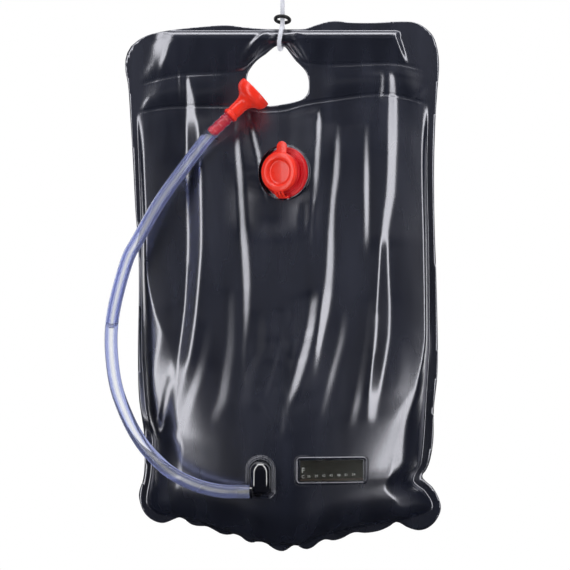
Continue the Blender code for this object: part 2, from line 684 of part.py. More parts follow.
def make_filler():
    up = (0, 0, 1)
    flange, neck, step, bore = FILLER_FLANGE / 2, NECK_WIDE / 2, STEP_WIDE / 2, FILLER_BORE / 2
    wall = 1.6 * MM
    profile = [
        (bore, NECK_TALL), (neck - 0.6 * MM, NECK_TALL), (neck, NECK_TALL - 0.6 * MM), (neck, STEP_TALL),
        (step, STEP_TALL), (step, 0), (flange - 0.5 * MM, 0), (flange, -0.5 * MM), (flange, -FILLER_RIM),
        (flange - wall, -FILLER_RIM), (flange - wall, -wall), (bore + wall, -wall),
        (bore + wall, -FILLER_RIM), (bore, -FILLER_RIM),
    ]
    base = place(turned("filler_base", profile, RED, closed=True), FILLER_CENTRE, FILLER_AXIS, up)
    half_hinge = HINGE_PITCH * (HINGE_BARS - 1) / 2 + HINGE_BAR
    seat_top = HINGE_HEIGHT - HINGE_BARREL / 2 - SEAT_GAP
    lug = box("hinge_lug", (-half_hinge, -HINGE_RADIUS - 2 * MM, -1 * MM),
              (half_hinge, -HINGE_RADIUS + 2.4 * MM, seat_top), guide=True)
    combine(base, ride_with(lug, Matrix(), base), "UNION")

    under = NECK_TALL + SEAT_GAP
    rim = CAP_WIDE / 2
    recess = CAP_RECESS / 2
    lip = bore - SEAT_GAP
    plug = lip - PLUG_WAIST
    floor = under - CAP_HOLLOW
    crown = under + CAP_TALL
    profile = [
        (0, floor + 1.5 * MM), (recess - 3.5 * MM, floor + 1.9 * MM), (recess - 1.2 * MM, floor + 3 * MM),
        (recess - 0.3 * MM, crown - 2 * MM), (recess + 1.4 * MM, crown - 0.4 * MM),
        (recess + 3.2 * MM, crown), (recess + 5.4 * MM, crown - 0.6 * MM),
        (recess + 7.2 * MM, under + 2.5 * MM), (rim - 0.4 * MM, under + 2.1 * MM),
        (rim, under + 1.6 * MM), (rim, under), (lip, under), (lip, under - PLUG_LIP),
        (plug, under - PLUG_LIP - 1.4 * MM), (plug, under - PLUG_DEEP + 1 * MM),
        (plug - 0.6 * MM, under - PLUG_DEEP),
        (plug - PLUG_WALL, under - PLUG_DEEP), (plug - PLUG_WALL, floor), (0, floor),
    ]
    cap = place(turned("filler_cap", profile, RED), FILLER_CENTRE, FILLER_AXIS, up)

    half = TAB_WIDE / 2
    root = rim - 4 * MM
    outline = [(-half, root), (half, root)]
    straight = rim + TAB_LONG - half
    angles = [math.pi * k / 8 for k in range(9)]
    outline += [(half * math.cos(a), straight + half * math.sin(a)) for a in angles]
    tab = slab("cap_tab", outline, 2 * MM, guide=True)
    combine(cap, ride_with(tab, Matrix.Translation((0, 0, under + 1.15 * MM)), cap), "UNION")

    arm_start = Vector((rim - 1.2 * MM, under + 0.9 * MM))
    arm_end = Vector((HINGE_RADIUS, HINGE_HEIGHT))
    arm = arm_end - arm_start
    lean = math.atan2(arm.y, arm.x)
    for k in range(HINGE_BARS):
        x = (k - (HINGE_BARS - 1) / 2) * HINGE_PITCH
        bar = box(f"hinge_bar_{k + 1}", (-HINGE_BAR / 2, -arm.length / 2, -0.9 * MM),
                  (HINGE_BAR / 2, arm.length / 2, 0.9 * MM), guide=True)
        middle = (arm_start + arm_end) / 2
        local = Matrix.Translation((x, -middle.x, middle.y)) @ Matrix.Rotation(-lean, 4, "X")
        combine(cap, ride_with(bar, local, cap), "UNION")
    barrel = rod_shape("hinge_barrel", (-half_hinge, 0, 0), (half_hinge, 0, 0), HINGE_BARREL, sides=12)
    local = Matrix.Translation((0, -HINGE_RADIUS, HINGE_HEIGHT)) @ barrel.matrix_world
    combine(cap, ride_with(barrel, local, cap), "UNION")


def with_long_sides_cut(outline, longest):
    """The same outline with its long straight sides cut into shorter ones."""
    points = []
    for k, p in enumerate(outline):
        start, end = Vector(p), Vector(outline[(k + 1) % len(outline)])
        pieces = max(1, math.ceil((end - start).length / longest))
        points += [start.lerp(end, n / pieces) for n in range(pieces)]
    return points


def welded_ring(name, outline, section, across, depth, material):
    """A closed bead along an outline on the front film, with (inset, lift) points round its section."""
    middle = with_long_sides_cut(outline, 9 * MM)
    count = len(middle)
    inward = []
    for k in range(count):
        along = (middle[(k + 1) % count] - middle[k - 1]).normalized()
        inward.append(Vector((-along.y, along.x)))
    verts = []
    for inset, lift in section:
        for p, n in zip(middle, inward):
            spot = p + inset * n
            x, z = across + spot.x, -depth + spot.y
            verts.append((x, front_y(x, -z) - lift, ROD_Z + z))
    faces = []
    for s in range(len(section)):
        t = (s + 1) % len(section)
        for k in range(count):
            m = (k + 1) % count
            faces.append([s * count + k, t * count + k, t * count + m, s * count + m])
    mesh = bpy.data.meshes.new(name)
    mesh.from_pydata(verts, [], faces)
    solid = bmesh.new()
    solid.from_mesh(mesh)
    bmesh.ops.recalc_face_normals(solid, faces=solid.faces)
    solid.to_mesh(mesh)
    solid.free()
    obj = add_object(name, mesh, material)
    shade(obj)
    return obj


def film_patch(name, wide, tall, lift, thick, material):
    """A thin rectangle that lies on the front film at the thermometer."""
    long_steps, short_steps = 9, 3
    verts = []
    for r in range(short_steps + 1):
        for c in range(long_steps + 1):
            x = THERMO_SHIFT + wide * (c / long_steps - 0.5)
            depth = THERMO_DOWN + tall * (r / short_steps - 0.5)
            verts.append((x, front_y(x, depth) - lift, ROD_Z - depth))
    row = long_steps + 1
    faces = []
    for r in range(short_steps):
        for c in range(long_steps):
            corner = r * row + c
            faces.append([corner, corner + row, corner + row + 1, corner + 1])
    mesh = bpy.data.meshes.new(name)
    mesh.from_pydata(verts, [], faces)
    obj = add_object(name, mesh, material)
    skin = obj.modifiers.new("Sheet", "SOLIDIFY")
    skin.thickness = thick
    skin.offset = 1.0
    return obj


def make_outlet():
    pad = arch(PAD_WIDE, PAD_TALL)
    inner = (PAD_WIDE - ELBOW_WIDE) / 2 - SEAT_GAP
    section = [
        (0, PATCH_GAP), (0, PATCH_GAP + 0.6 * MM), (1.2 * MM, PATCH_GAP + 1.5 * MM),
        (2.4 * MM, PATCH_GAP + 0.8 * MM),
        (inner - 1.6 * MM, PATCH_GAP + 1.2 * MM), (inner - 0.8 * MM, PATCH_GAP + 2.2 * MM),
        (inner, PATCH_GAP + 1.4 * MM), (inner, PATCH_GAP),
    ]
    welded_ring("outlet_pad", pad, section, OUTLET_SHIFT, OUTLET_DOWN + 1 * MM, FILM_BLACK)

    film = front_y(OUTLET_SHIFT, OUTLET_DOWN)
    inside = 6 * MM
    thick = ELBOW_OUT + inside
    elbow = hanging_slab("outlet_elbow", arch(ELBOW_WIDE, ELBOW_TALL), thick, OUTLET_SHIFT,
                         film - ELBOW_OUT + thick / 2, OUTLET_DOWN, OUTLET_BLACK)
    soften = elbow.modifiers.new("Round edges", "BEVEL")
    soften.width = ELBOW_ROUND
    soften.segments = 3
    soften.angle_limit = math.radians(60)
    stub_y = film - STUB_OUT
    stub_z = ROD_Z - STUB_DOWN
    tip = OUTLET_SHIFT - ELBOW_WIDE / 2 - 14 * MM
    neck = HOSE_GRIP - 0.6 * MM
    profile = [
        (0, 14 * MM), (HOSE_GRIP - 1.2 * MM, 14 * MM), (HOSE_GRIP, 11 * MM), (neck, 10.6 * MM),
        (neck, -8 * MM), (0, -8 * MM),
    ]
    stub = turned("outlet_stub", profile, guide=True, sides=20)
    place(stub, (OUTLET_SHIFT - ELBOW_WIDE / 2, stub_y, stub_z), (-1, 0, 0), (0, 0, 1))
    combine(elbow, stub, "UNION")
    outer_end = (tip - 5 * MM, stub_y, stub_z)
    way_out = rod_shape("stub_bore", outer_end, (OUTLET_SHIFT, stub_y, stub_z), STUB_BORE)
    combine(elbow, way_out, "DIFFERENCE")
    back = (OUTLET_SHIFT, film + inside + 5 * MM, stub_z + 4 * MM)
    way_in = rod_shape("outlet_bore", back, (OUTLET_SHIFT, stub_y - 2 * MM, stub_z + 4 * MM), 1.6 * STUB_BORE)
    combine(elbow, way_in, "DIFFERENCE")
    return tip


def make_thermometer():
    outline = rounded_box(FRAME_WIDE, FRAME_TALL, 6 * MM)
    crest = PATCH_GAP + 1.8 * MM
    section = [
        (0, PATCH_GAP), (0, PATCH_GAP + 0.5 * MM), (0.3 * FRAME_BEAD, crest), (0.7 * FRAME_BEAD, crest),
        (FRAME_BEAD, crest - 0.3 * MM), (FRAME_BEAD, PATCH_GAP),
    ]
    welded_ring("window_frame", outline, section, THERMO_SHIFT, THERMO_DOWN, FILM_BLACK)
    margin = 2 * (FRAME_BEAD + SEAT_GAP)
    film_patch("thermometer_strip", FRAME_WIDE - margin - 4.8 * MM, FRAME_TALL - margin - 1.6 * MM, PATCH_GAP,
               STRIP_THICK, STRIP_BROWN)
    film_patch("window_film", FRAME_WIDE - margin - 3.6 * MM, FRAME_TALL - margin - 0.6 * MM,
               PATCH_GAP + STRIP_THICK + SEAT_GAP, 0.5 * MM, CLEAR)


def head_point(back):
    """A place on the shower head's axis, this far back from the spray face."""
    return Vector((HEAD_SHIFT, -HEAD_OUT, ROD_Z - HEAD_DOWN)) - back * HEAD_WAY


def make_hose(stub_tip):
    film = front_y(OUTLET_SHIFT, OUTLET_DOWN)
    axis_y, axis_z = film - STUB_OUT, ROD_Z - STUB_DOWN
    start = Vector((OUTLET_SHIFT - ELBOW_WIDE / 2 - SEAT_GAP, axis_y, axis_z))
    collar_back = STEM_END + SEAT_GAP + COLLAR_LONG
    end = head_point(collar_back + SEAT_GAP)
    free = [Vector((stub_tip - 2 * MM, axis_y, axis_z))]
    free += [Vector((x, y, -depth)) * MM + Vector((0, 0, ROD_Z)) for x, y, depth in HOSE_ROUTE]
    free.append(head_point(collar_back + BARB_LONG + 2 * MM))
    points = [start, *through(free, 1.6 * HOSE_WIDE, start, end), end]
    hose = made_mesh(tube("hose", points, HOSE_WIDE), HOSE_CLEAR)
    lead_in = 3 * MM
    inner = [points[0] + lead_in * (points[0] - points[1]).normalized(), *points]
    inner.append(points[-1] + lead_in * (points[-1] - points[-2]).normalized())
    bore = made_mesh(tube("hose_bore", inner, HOSE_BORE, guide=True), guide=True)
    combine(hose, bore, "DIFFERENCE")
    shade(hose)


def barbs(start, long, width, teeth):
    """Down the outside of a hose barb, one sloping tooth after another."""
    points = []
    pitch = long / teeth
    for k in range(teeth):
        top = start - k * pitch
        points += [(width / 2 - 0.7 * MM, top), (width / 2, top - 0.35 * pitch)]
        points += [(width / 2, top - 0.45 * pitch), (width / 2 - 0.7 * MM, top - pitch)]
    return [p for k, p in enumerate(points) if k % 4 or k == 0]


def make_head():
    up = (0, -1, 0)
    origin = head_point(0)
    face, stem, bore, lip = HEAD_WIDE / 2, STEM_WIDE / 2, STEM_BORE / 2, LIP_WIDE / 2
    rim = 3 * MM
    flare = []
    for k in range(7):
        f = k / 6
        radius = stem + (face - 1 * MM - stem) * (1 - math.sin(f * math.pi / 2)) ** 0.8
        flare.append((radius, -rim - f * (HEAD_FLARE - rim)))
    ledge = face - PLATE_WALL
    profile = [(ledge, 0), (face - 0.5 * MM, 0), (face, -0.6 * MM), (face, -rim + 0.6 * MM)] + flare
    profile += [(stem, -STEM_END + LIP_LONG + 0.6 * MM), (lip, -STEM_END + LIP_LONG), (lip, -STEM_END)]
    profile += [(bore, -STEM_END), (bore, -HEAD_FLARE), (bore + 1.5 * MM, -HEAD_FLARE + 4 * MM)]
    profile += [(face - 7 * MM, -rim - 3 * MM), (ledge - 2 * MM, -rim - 0.6 * MM)]
    profile += [(ledge - 2 * MM, -PLATE_THICK), (ledge, -PLATE_THICK)]
    place(turned("head_shell", profile, RED, closed=True, sides=28), origin, HEAD_WAY, up)

    radius = ledge - SEAT_GAP
    back = -PLATE_THICK + SEAT_GAP
    dish = [(0, 1.6 * MM), (0.5 * radius, 1.3 * MM), (0.85 * radius, 0.6 * MM), (radius, 0)]
    dish += [(radius, back), (0, back)]
    plate = place(turned("spray_plate", dish, WHITE), origin, HEAD_WAY, up)
    for ring, (count, spread) in enumerate([(1, 0), (6, 0.3), (12, 0.6)]):
        for k in range(count):
            a = 2 * math.pi * k / count
            spot = Vector((spread * radius * math.cos(a), spread * radius * math.sin(a), 0))
            name = f"spray_hole_{ring}_{k}"
            pin = rod_shape(name, (0, 0, back - 2 * MM), (0, 0, 4 * MM), 1.6 * MM, sides=6)
            ride_with(pin, Matrix.Translation(spot) @ pin.matrix_world, plate)
            combine(plate, pin, "DIFFERENCE")

    slide = bore - SLIP_GAP
    groove = slide - 1.0 * MM
    nose = HEAD_FLARE + 1.5 * MM
    seals = [nose + 4.5 * MM, STEM_END - 9 * MM]
    profile = [(0, -nose), (slide - 1.5 * MM, -nose), (slide, -nose - 1.2 * MM)]
    for at in seals:
        half = O_RING_THICK / 2 + 0.4 * MM
        profile += [(slide, -at + half), (groove, -at + half), (groove, -at - half), (slide, -at - half)]
    collar_top = -STEM_END - SEAT_GAP
    barb_top = collar_top - COLLAR_LONG
    profile += [(slide, collar_top), (stem + 0.3 * MM, collar_top), (stem + 0.3 * MM, barb_top)]
    profile += barbs(barb_top, BARB_LONG, 2 * HOSE_GRIP, 3)
    water = 3.2 * MM
    profile += [(water, barb_top - BARB_LONG), (water, -nose - 2 * MM), (0, -nose - 1.5 * MM)]
    valve = place(turned("valve_stem", profile, CRIMSON, sides=20), origin, HEAD_WAY, up)
    port_at = -(nose + 9.5 * MM)
    for k in range(2):
        slot = box(f"valve_port_{k + 1}", (-1.6 * MM, -8 * MM, port_at - 2.5 * MM),
                   (1.6 * MM, 8 * MM, port_at + 2.5 * MM), guide=True)
        combine(valve, ride_with(slot, Matrix.Rotation(k * math.pi / 2, 4, "Z"), valve), "DIFFERENCE")

    seal_wide = 2 * (groove + 0.1 * MM) + 2 * O_RING_THICK
    for name, at in zip(("valve_seal_upper", "valve_seal_lower"), seals):
        place(torus(name, seal_wide, O_RING_THICK, RUBBER, across=16, around=6), head_point(at), HEAD_WAY, up)


def make_rope():
    lane = (ROPE_WIDE + STRAND_GAP) / 2
    top = ROD_Z + KNOT_ABOVE_ROD
    turn = [Vector(p) * MM + Vector((0, 0, ROD_Z)) for p in ROPE_TURN]
    straight = ROD_Z + RING_ABOVE_ROD - 4.2 * MM
    front = [Vector((0, -lane, z)) for z in (top - SEAT_GAP, (top + straight) / 2, straight)]
    back = [Vector((p.x, lane, p.z)) for p in reversed(front)]
    tube("rope", through(front + turn + back, 4.6 * MM), ROPE_WIDE, ROPE_WHITE)

    end = lane + ROPE_WIDE / 2 + 0.6 * MM
    half = KNOT_TALL / 2
    profile = [(0, half), (end, half), (0.9 * KNOT_WIDE / 2, 0.55 * half), (KNOT_WIDE / 2, 0)]
    profile += [(0.9 * KNOT_WIDE / 2, -0.55 * half), (end, -half), (0, -half)]
    knot = turned("rope_knot", profile, ROPE_WHITE, sides=20)
    knot.location = (0, 0, top + half)

    foot = top + KNOT_TALL + SEAT_GAP
    crown = ROPE_WIDE / 2
    side = (EYE_WIDE - ROPE_WIDE) / 2
    rise = crown - foot
    half_eye = [(lane, foot), (lane, foot + 4 * MM), (lane + 0.5 * (side - lane), foot + 0.34 * rise)]
    half_eye.append((side, foot + 0.68 * rise))
    half_eye.append((0.72 * side, foot + 0.92 * rise))
    left = [Vector((-x, 0, z)) for x, z in half_eye]
    right = [Vector((x, 0, z)) for x, z in reversed(half_eye)]
    tube("rope_eye", through(left + [Vector((0, 0, crown))] + right, 6.0 * MM), ROPE_WIDE, ROPE_WHITE)

    ring = torus("rope_ring", RING_WIDE, RING_THICK, RUBBER, across=24, around=8)
    tilt = Matrix.Rotation(RING_ROLL, 4, "Y") @ Matrix.Rotation(-RING_TILT, 4, "X")
    ring.matrix_world = Matrix.Translation((0, 0, ROD_Z + RING_ABOVE_ROD)) @ tilt


clear_scene()
BAG = new_collection("camp_shower_bag")
GUIDES = new_collection("cutters")
FILM_BLACK = make_material("film_black", (0.012, 0.014, 0.02), 0.3)
OUTLET_BLACK = make_material("outlet_black", (0.01, 0.011, 0.014), 0.2)
ROD_GREY = make_material("rod_grey", (0.3, 0.3, 0.31), 0.5)
RED = make_material("moulded_red", (0.78, 0.06, 0.03), 0.3)
CRIMSON = make_material("crimson", (0.5, 0.01, 0.03), 0.35)
WHITE = make_material("spray_white", (0.8, 0.8, 0.82), 0.4)
RUBBER = make_material("black_rubber", (0.01, 0.01, 0.012), 0.5)
ROPE_WHITE = make_material("rope_white", (0.78, 0.78, 0.82), 0.9)
HOSE_CLEAR = make_material("clear_hose", (0.6, 0.65, 0.8), 0.1, 0.35)
STRIP_BROWN = make_material("strip_brown", (0.03, 0.028, 0.02), 0.4)
CLEAR = make_material("clear_film", (0.8, 0.85, 0.9), 0.1, 0.3)

make_bag()
make_rod()
make_filler()
stub_tip = make_outlet()
make_thermometer()
make_hose(stub_tip)
make_head()
make_rope()
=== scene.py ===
# %% [markdown]
# # A camp shower bag, dressed in Blender
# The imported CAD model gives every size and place. This notebook puts the looks on it: wrinkled black film,
# a clear hose, braided rope and moulded red fittings. Each part starts with a note on what the real one is
# and how it is made here.

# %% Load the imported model
import json
import math

import bmesh
import bpy
import numpy as np
from mathutils import Matrix, Vector
from mathutils.bvhtree import BVHTree

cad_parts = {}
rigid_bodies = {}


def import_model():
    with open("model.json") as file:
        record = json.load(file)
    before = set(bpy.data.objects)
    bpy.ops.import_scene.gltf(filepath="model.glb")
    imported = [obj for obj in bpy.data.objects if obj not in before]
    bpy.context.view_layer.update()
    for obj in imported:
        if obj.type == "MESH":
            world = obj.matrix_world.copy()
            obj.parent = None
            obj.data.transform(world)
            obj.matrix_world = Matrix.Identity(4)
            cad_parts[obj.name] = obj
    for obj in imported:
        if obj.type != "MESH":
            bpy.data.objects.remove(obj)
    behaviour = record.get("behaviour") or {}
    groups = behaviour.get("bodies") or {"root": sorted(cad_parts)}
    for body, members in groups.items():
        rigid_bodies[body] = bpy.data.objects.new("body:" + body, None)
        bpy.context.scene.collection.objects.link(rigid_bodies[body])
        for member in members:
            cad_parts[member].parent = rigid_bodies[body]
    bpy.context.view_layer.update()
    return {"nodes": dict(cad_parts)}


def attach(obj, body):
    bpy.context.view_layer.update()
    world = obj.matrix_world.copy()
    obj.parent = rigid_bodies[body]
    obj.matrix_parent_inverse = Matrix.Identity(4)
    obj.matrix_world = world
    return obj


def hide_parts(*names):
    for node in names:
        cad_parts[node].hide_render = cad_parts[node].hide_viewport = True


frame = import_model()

MM = 0.001
NODES = frame["nodes"]

# %% [markdown]
# ## The camera
# The photograph looks straight at the bag from a few metres away. A long lens from that distance keeps the
# sides parallel, and the view is as tall as the photograph's frame at the bag's depth.

# %% Camera
VIEW_TALL = 661.2 * MM
CAMERA_AWAY = 2.4
VIEW_CENTRE = Vector((2.9, 0, -432.5)) * MM

lens = bpy.data.cameras.new("photo_camera")
lens.sensor_width = 36.0
lens.lens = lens.sensor_width * CAMERA_AWAY / VIEW_TALL
camera = bpy.data.objects.new("photo_camera", lens)
bpy.context.scene.collection.objects.link(camera)
camera.location = VIEW_CENTRE - Vector((0, CAMERA_AWAY, 0))
camera.rotation_euler = (math.pi / 2, 0, 0)
bpy.context.scene.camera = camera
print("lens", round(lens.lens, 1), "mm")

# %% [markdown]
# ## Curves through measured places
# Two helpers serve every piece. One reads a value off a smooth curve that never overshoots its points, for
# whole arrays at once. The other lays points at an even step along a smooth line in space, for cords and
# rims. The rest put a mesh in the scene, turn a piece with live modifiers into a plain mesh, and face a
# closed mesh outwards.


# %% Curve helpers
def curve(points):
    """A smooth function through (place, value) points, for arrays of places."""
    places, values = np.array(points, dtype=float).T
    steps = np.diff(values) / np.diff(places)
    slopes = np.zeros(len(values))
    same = steps[:-1] * steps[1:] > 0
    both = np.where(same, steps[:-1] + steps[1:], 1.0)
    slopes[1:-1] = np.where(same, 2 * steps[:-1] * steps[1:] / both, 0.0)
    slopes[0], slopes[-1] = steps[0], steps[-1]

    def at(x):
        i = np.clip(np.searchsorted(places, x) - 1, 0, len(places) - 2)
        span = places[i + 1] - places[i]
        f = np.clip((x - places[i]) / span, 0, 1)
        rise = values[i + 1] - values[i]
        start, end = slopes[i] * span, slopes[i + 1] * span
        return values[i] + f * (start + f * (3 * rise - 2 * start - end + f * (start + end - 2 * rise)))

    return at


def ease(low, high, value):
    """A soft step from 0 to 1 between two values."""
    f = np.clip((value - low) / (high - low), 0, 1)
    return f * f * (3 - 2 * f)


def through(points, step, before=None, after=None):
    """Points at an even step along a smooth line through the given ones."""
    pts = [Vector(p) for p in points]
    ends = [before or 2 * pts[0] - pts[1]] + pts + [after or 2 * pts[-1] - pts[-2]]
    fine = []
    for a, b, c, d in zip(ends, ends[1:], ends[2:], ends[3:]):
        for k in range(16):
            t = k / 16
            bend, twist = a - 2.5 * b + 2 * c - 0.5 * d, 1.5 * (b - c) + 0.5 * (d - a)
            fine.append(b + t * (0.5 * (c - a) + t * (bend + t * twist)))
    fine.append(pts[-1])
    travelled = np.concatenate(([0.0], np.cumsum([(b - a).length for a, b in zip(fine, fine[1:])])))
    count = max(2, round(travelled[-1] / step))
    places = np.linspace(0, travelled[-1], count + 1)
    return [Vector([np.interp(s, travelled, [p[axis] for p in fine]) for axis in range(3)]) for s in places]


# %% Object helpers
def add_object(name, data):
    """A new object in the scene that holds this data."""
    obj = bpy.data.objects.new(name, data)
    bpy.context.scene.collection.objects.link(obj)
    return obj


def add_mesh(name, verts, faces):
    """An object with a plain mesh, its points in metres."""
    mesh = bpy.data.meshes.new(name)
    mesh.from_pydata([tuple(v) for v in verts], [], [tuple(f) for f in faces])
    return add_object(name, mesh)


def finished_mesh(obj):
    """The object's mesh as its modifiers leave it."""
    bpy.context.view_layer.update()
    graph = bpy.context.evaluated_depsgraph_get()
    return bpy.data.meshes.new_from_object(obj.evaluated_get(graph))


def face_outwards(obj):
    """Turn the faces of a closed mesh outwards."""
    solid = bmesh.new()
    solid.from_mesh(obj.data)
    bmesh.ops.recalc_face_normals(solid, faces=solid.faces)
    solid.to_mesh(obj.data)
    solid.free()


# %% [markdown]
# ## The shape of the film
# The bag is two films welded round the edge and along two lines under the rod. The numbers below give the
# cut edge, the welds' depths under the rod, and how far the water pushes the film out on the way down. They
# are the CAD model's, so that the fittings sit where they should. Only a few lines were moved by some
# millimetres, to lie closer to the photograph.

# %% Film sizes and lines, in millimetres
ROD_Z = -146.0
FILM = 0.6
WELDED = 0.75
FLANGE = 10.0
CORNER = 170.0
HALF_WIDE = 180.0
SEAM = 590.0
FRONT_BULGE = 58.0
BACK_BULGE = 50.0
SLEEVE_RADIUS = 7.9
FILLER = Vector((2.7, -21.0, -157.0))
FILLER_TURN = math.radians(30.0)
FILLER_AXIS = Vector((-math.sin(FILLER_TURN), -math.cos(FILLER_TURN), 0))
FILLER_SEAT = FILLER - 2.5 * FILLER_AXIS
FILLER_RADIUS = 29.0
OUTLET_X = -25.0
OUTLET_DEPTH = 503.0
print("film wall", FILM, "mm, pushed out by up to", FRONT_BULGE, "mm in front and", BACK_BULGE, "mm behind")

# %% Outlines of the film and its hand hole: (across, depth)
OUTLINE = [
    (-160, -1.6), (-146, -6), (-125, -9.7), (-97, -12.6), (-66, -14.8), (-45, -12.4), (-20, -10.4),
    (8, -10), (26, -10.6), (36, -14), (47, -17.4), (61, -19.7), (80, -17.8), (104, -17.5), (128, -18.8),
    (146, -19), (157, -16.8), (167, -10.5), (175, -1.5), (180, 14), (181.6, 34), (179.4, 64), (177.2, 100),
    (175.8, 153), (176.4, 215), (178.4, 275), (180, 345), (179.6, 390), (175.6, 430), (175, 465),
    (171, 490), (166, 502), (161.4, 507.6), (166, 514), (174, 521), (181, 533), (183.8, 546), (178.5, 559),
    (169, 568), (157.5, 571), (145, 567.6), (137, 562.8), (131, 561.4), (123.5, 566.6), (112, 571.6),
    (97, 574), (85, 573.2), (78, 575.2), (69.5, 580), (59, 582.8), (50, 581.4), (42.5, 584.6), (35, 590.6),
    (27.5, 593), (20, 590.4), (14, 587), (7.5, 592), (0, 595.3), (-8, 593.4), (-15, 588.8), (-22, 583.6),
    (-28, 583.4), (-35.5, 585.4), (-43, 582.6), (-49.5, 577), (-55.5, 574.8), (-62.5, 576.2), (-71, 575),
    (-80, 570.2), (-88, 566.4), (-98, 566), (-106, 564), (-113, 558.6), (-118.5, 555.4), (-126, 558.2),
    (-139, 562.6), (-152, 558.4), (-161.5, 548.5), (-166.4, 533), (-165.4, 523), (-161.8, 512), (-160, 495),
    (-160.4, 462), (-163, 440), (-166.6, 412), (-167.6, 360), (-166.6, 290), (-167.4, 240), (-170.6, 200),
    (-173.6, 140), (-176.6, 90), (-179, 56), (-182.4, 36), (-181, 20), (-174, 8),
]
HAND_HOLE = [
    (-3, 8.9), (3, 10.5), (9.6, 18.9), (15.9, 26.9), (23, 34), (28, 41), (30.5, 50), (30.2, 61), (27, 67.5),
    (20, 72.5), (0, 77), (-16, 79), (-32, 77.5), (-40, 68), (-42, 54), (-41, 45), (-39.5, 39.5),
    (-34.8, 32), (-27.6, 24.4), (-18.8, 18.2), (-9, 10.2),
]
print("outline:", len(OUTLINE), "places, hand hole:", len(HAND_HOLE))

# %% Side insets and weld lines by depth or place
left_inset = curve([
    (-20, 58), (-13, 45), (-6, 28), (0, 14), (14, 3), (40, 0), (80, 1), (150, 4), (245, 7), (340, 7),
    (420, 12), (455, 20), (490, 18), (530, 12.5), (550, 17), (575, 36),
])
right_inset = curve([
    (-20, 24), (-13, 14), (-6, 9), (0, 6), (14, 2), (40, 0), (80, 1), (150, 3), (245, 1), (340, 0),
    (420, 4), (455, 6), (490, 10), (507, 19), (524, 5), (545, -4), (575, 16),
])
upper_weld = curve([
    (-180, 57), (-118, 43), (-60, 40), (-46, 38), (-35, 28.5), (-27.6, 21), (-18.8, 14.5), (-11, 9.6),
    (-5, 8.1), (0, 8.1), (4.5, 9.2), (9.6, 14.6), (16, 22), (23, 27), (32, 30), (49, 31.3), (122, 29),
    (180, 40),
])
lower_weld = curve([
    (-180, 88), (-118, 79), (-50, 79), (-24, 84), (0, 82.8), (24, 76.5), (44, 73), (118, 65), (180, 79),
])
seam_lift = curve([
    (-180, 64), (-165, 56), (-146, 39), (-124, 34), (-96, 27), (-53, 13), (-24, 4), (9, 0), (47, 12),
    (78, 20), (113, 27), (134, 30), (160, 37), (186, 47),
])
print("lower weld under the rod's middle:", round(float(lower_weld(0)), 1), "mm down")

# %% How far the water pushes the film out, by share of the way down the chamber
bulge_share = curve([
    (0, 0), (0.05, 0.13), (0.15, 0.37), (0.28, 0.47), (0.44, 0.6), (0.6, 0.78), (0.74, 0.95), (0.84, 1),
    (0.91, 0.95), (0.96, 0.74), (0.985, 0.46), (1, 0),
])
left_knee = curve([(0, 0.96), (0.4, 0.96), (0.5, 0.9), (0.58, 0.8), (0.66, 0.76), (0.8, 0.76), (1, 0.8)])
right_knee = curve([
    (0, 0.965), (0.56, 0.965), (0.62, 0.95), (0.7, 0.9), (0.78, 0.8), (0.84, 0.76), (1, 0.78),
])
# Share of the fall past the knee that is one round bend, at the left and the right
ROUND_FALL = (0.42, 0.62)
# The film falls this share from the middle to its side, before the knee
SAG_ACROSS = 0.5
HOLLOW_DEEP = 7.4


def seam(x):
    """Depth of the welded seam under the chamber."""
    return SEAM - seam_lift(x)


def side_weld(side, depth):
    """The chamber's left (-1) or right (1) weld at one depth or an array of depths."""
    inset = left_inset(depth) if side < 0 else right_inset(depth)
    return side * (HALF_WIDE - inset - FLANGE)


def chamber_side(side, share):
    """The same weld, this share of the way down the chamber."""
    edge = side * CORNER
    return side_weld(side, lower_weld(edge) + share * (seam(edge) - lower_weld(edge)))


def ramp(share, rounding):
    """A straight rise from 0 to 1 with only its two ends rounded."""
    t = np.clip(share, 0, 1)
    end = np.minimum(t, 1 - t)
    curved = np.where(end < rounding, end**2 / (2 * rounding), end - rounding / 2) / (1 - rounding)
    return np.where(t < 0.5, curved, 1 - curved)


# %% Stand-out of the film
def chamber_out(x, share, bulge):
    """How far the film's outer face stands out from the weld plane in the water chamber."""
    left, right = chamber_side(-1, share), chamber_side(1, share)
    across = np.minimum(np.abs(2 * (x - left) / (right - left) - 1), 1.0)
    knee = np.where(x < 0, left_knee(share), right_knee(share))
    past_knee = np.clip((across - knee) / (1 - knee), 0, 1)
    bend = 1.3 * past_knee**2 / (past_knee + 0.3)
    first = np.where(x < 0, *ROUND_FALL)
    fall = first * bend + (1 - first) * past_knee**5
    return WELDED + bulge * bulge_share(share) * (1 - SAG_ACROSS * across**1.6) * (1 - fall)


def filler_hollow(x, depth):
    """The soft hollow below the filler that the open cap hangs in."""
    across = ease(-70, -18, x) * (1 - ease(-8, 48, x))
    return HOLLOW_DEEP * across * ease(150, 188, depth) * (1 - ease(206, 240, depth))


def chamber_share(x, depth):
    """How far down the chamber a depth lies, from 0 at the lower weld to 1 at the seam."""
    return np.clip((depth - lower_weld(x)) / (seam(x) - lower_weld(x)), 0, 1)


def front_out(x, depth):
    """The front film's stand-out at single places, for the fittings."""
    return chamber_out(x, chamber_share(x, depth), FRONT_BULGE)


print("film stands out at the outlet:", round(float(front_out(OUTLET_X, OUTLET_DEPTH)), 1), "mm")

# %% [markdown]
# ## Folds in the film
# A bag hung from one rope sags into tall folds, which show as bright bands where the film turns to the
# side. So a fold is drawn as a turn: a band with a width and a slope along a line of depths. Adding up the
# slopes along each row of the mesh gives the shape, and the slow drift in that sum is taken away again.
# Creases that run another way are short pressed or raised lines. Folds are soft where they are wide and
# crisp where they are narrow, so the width also sets how softly a band begins.


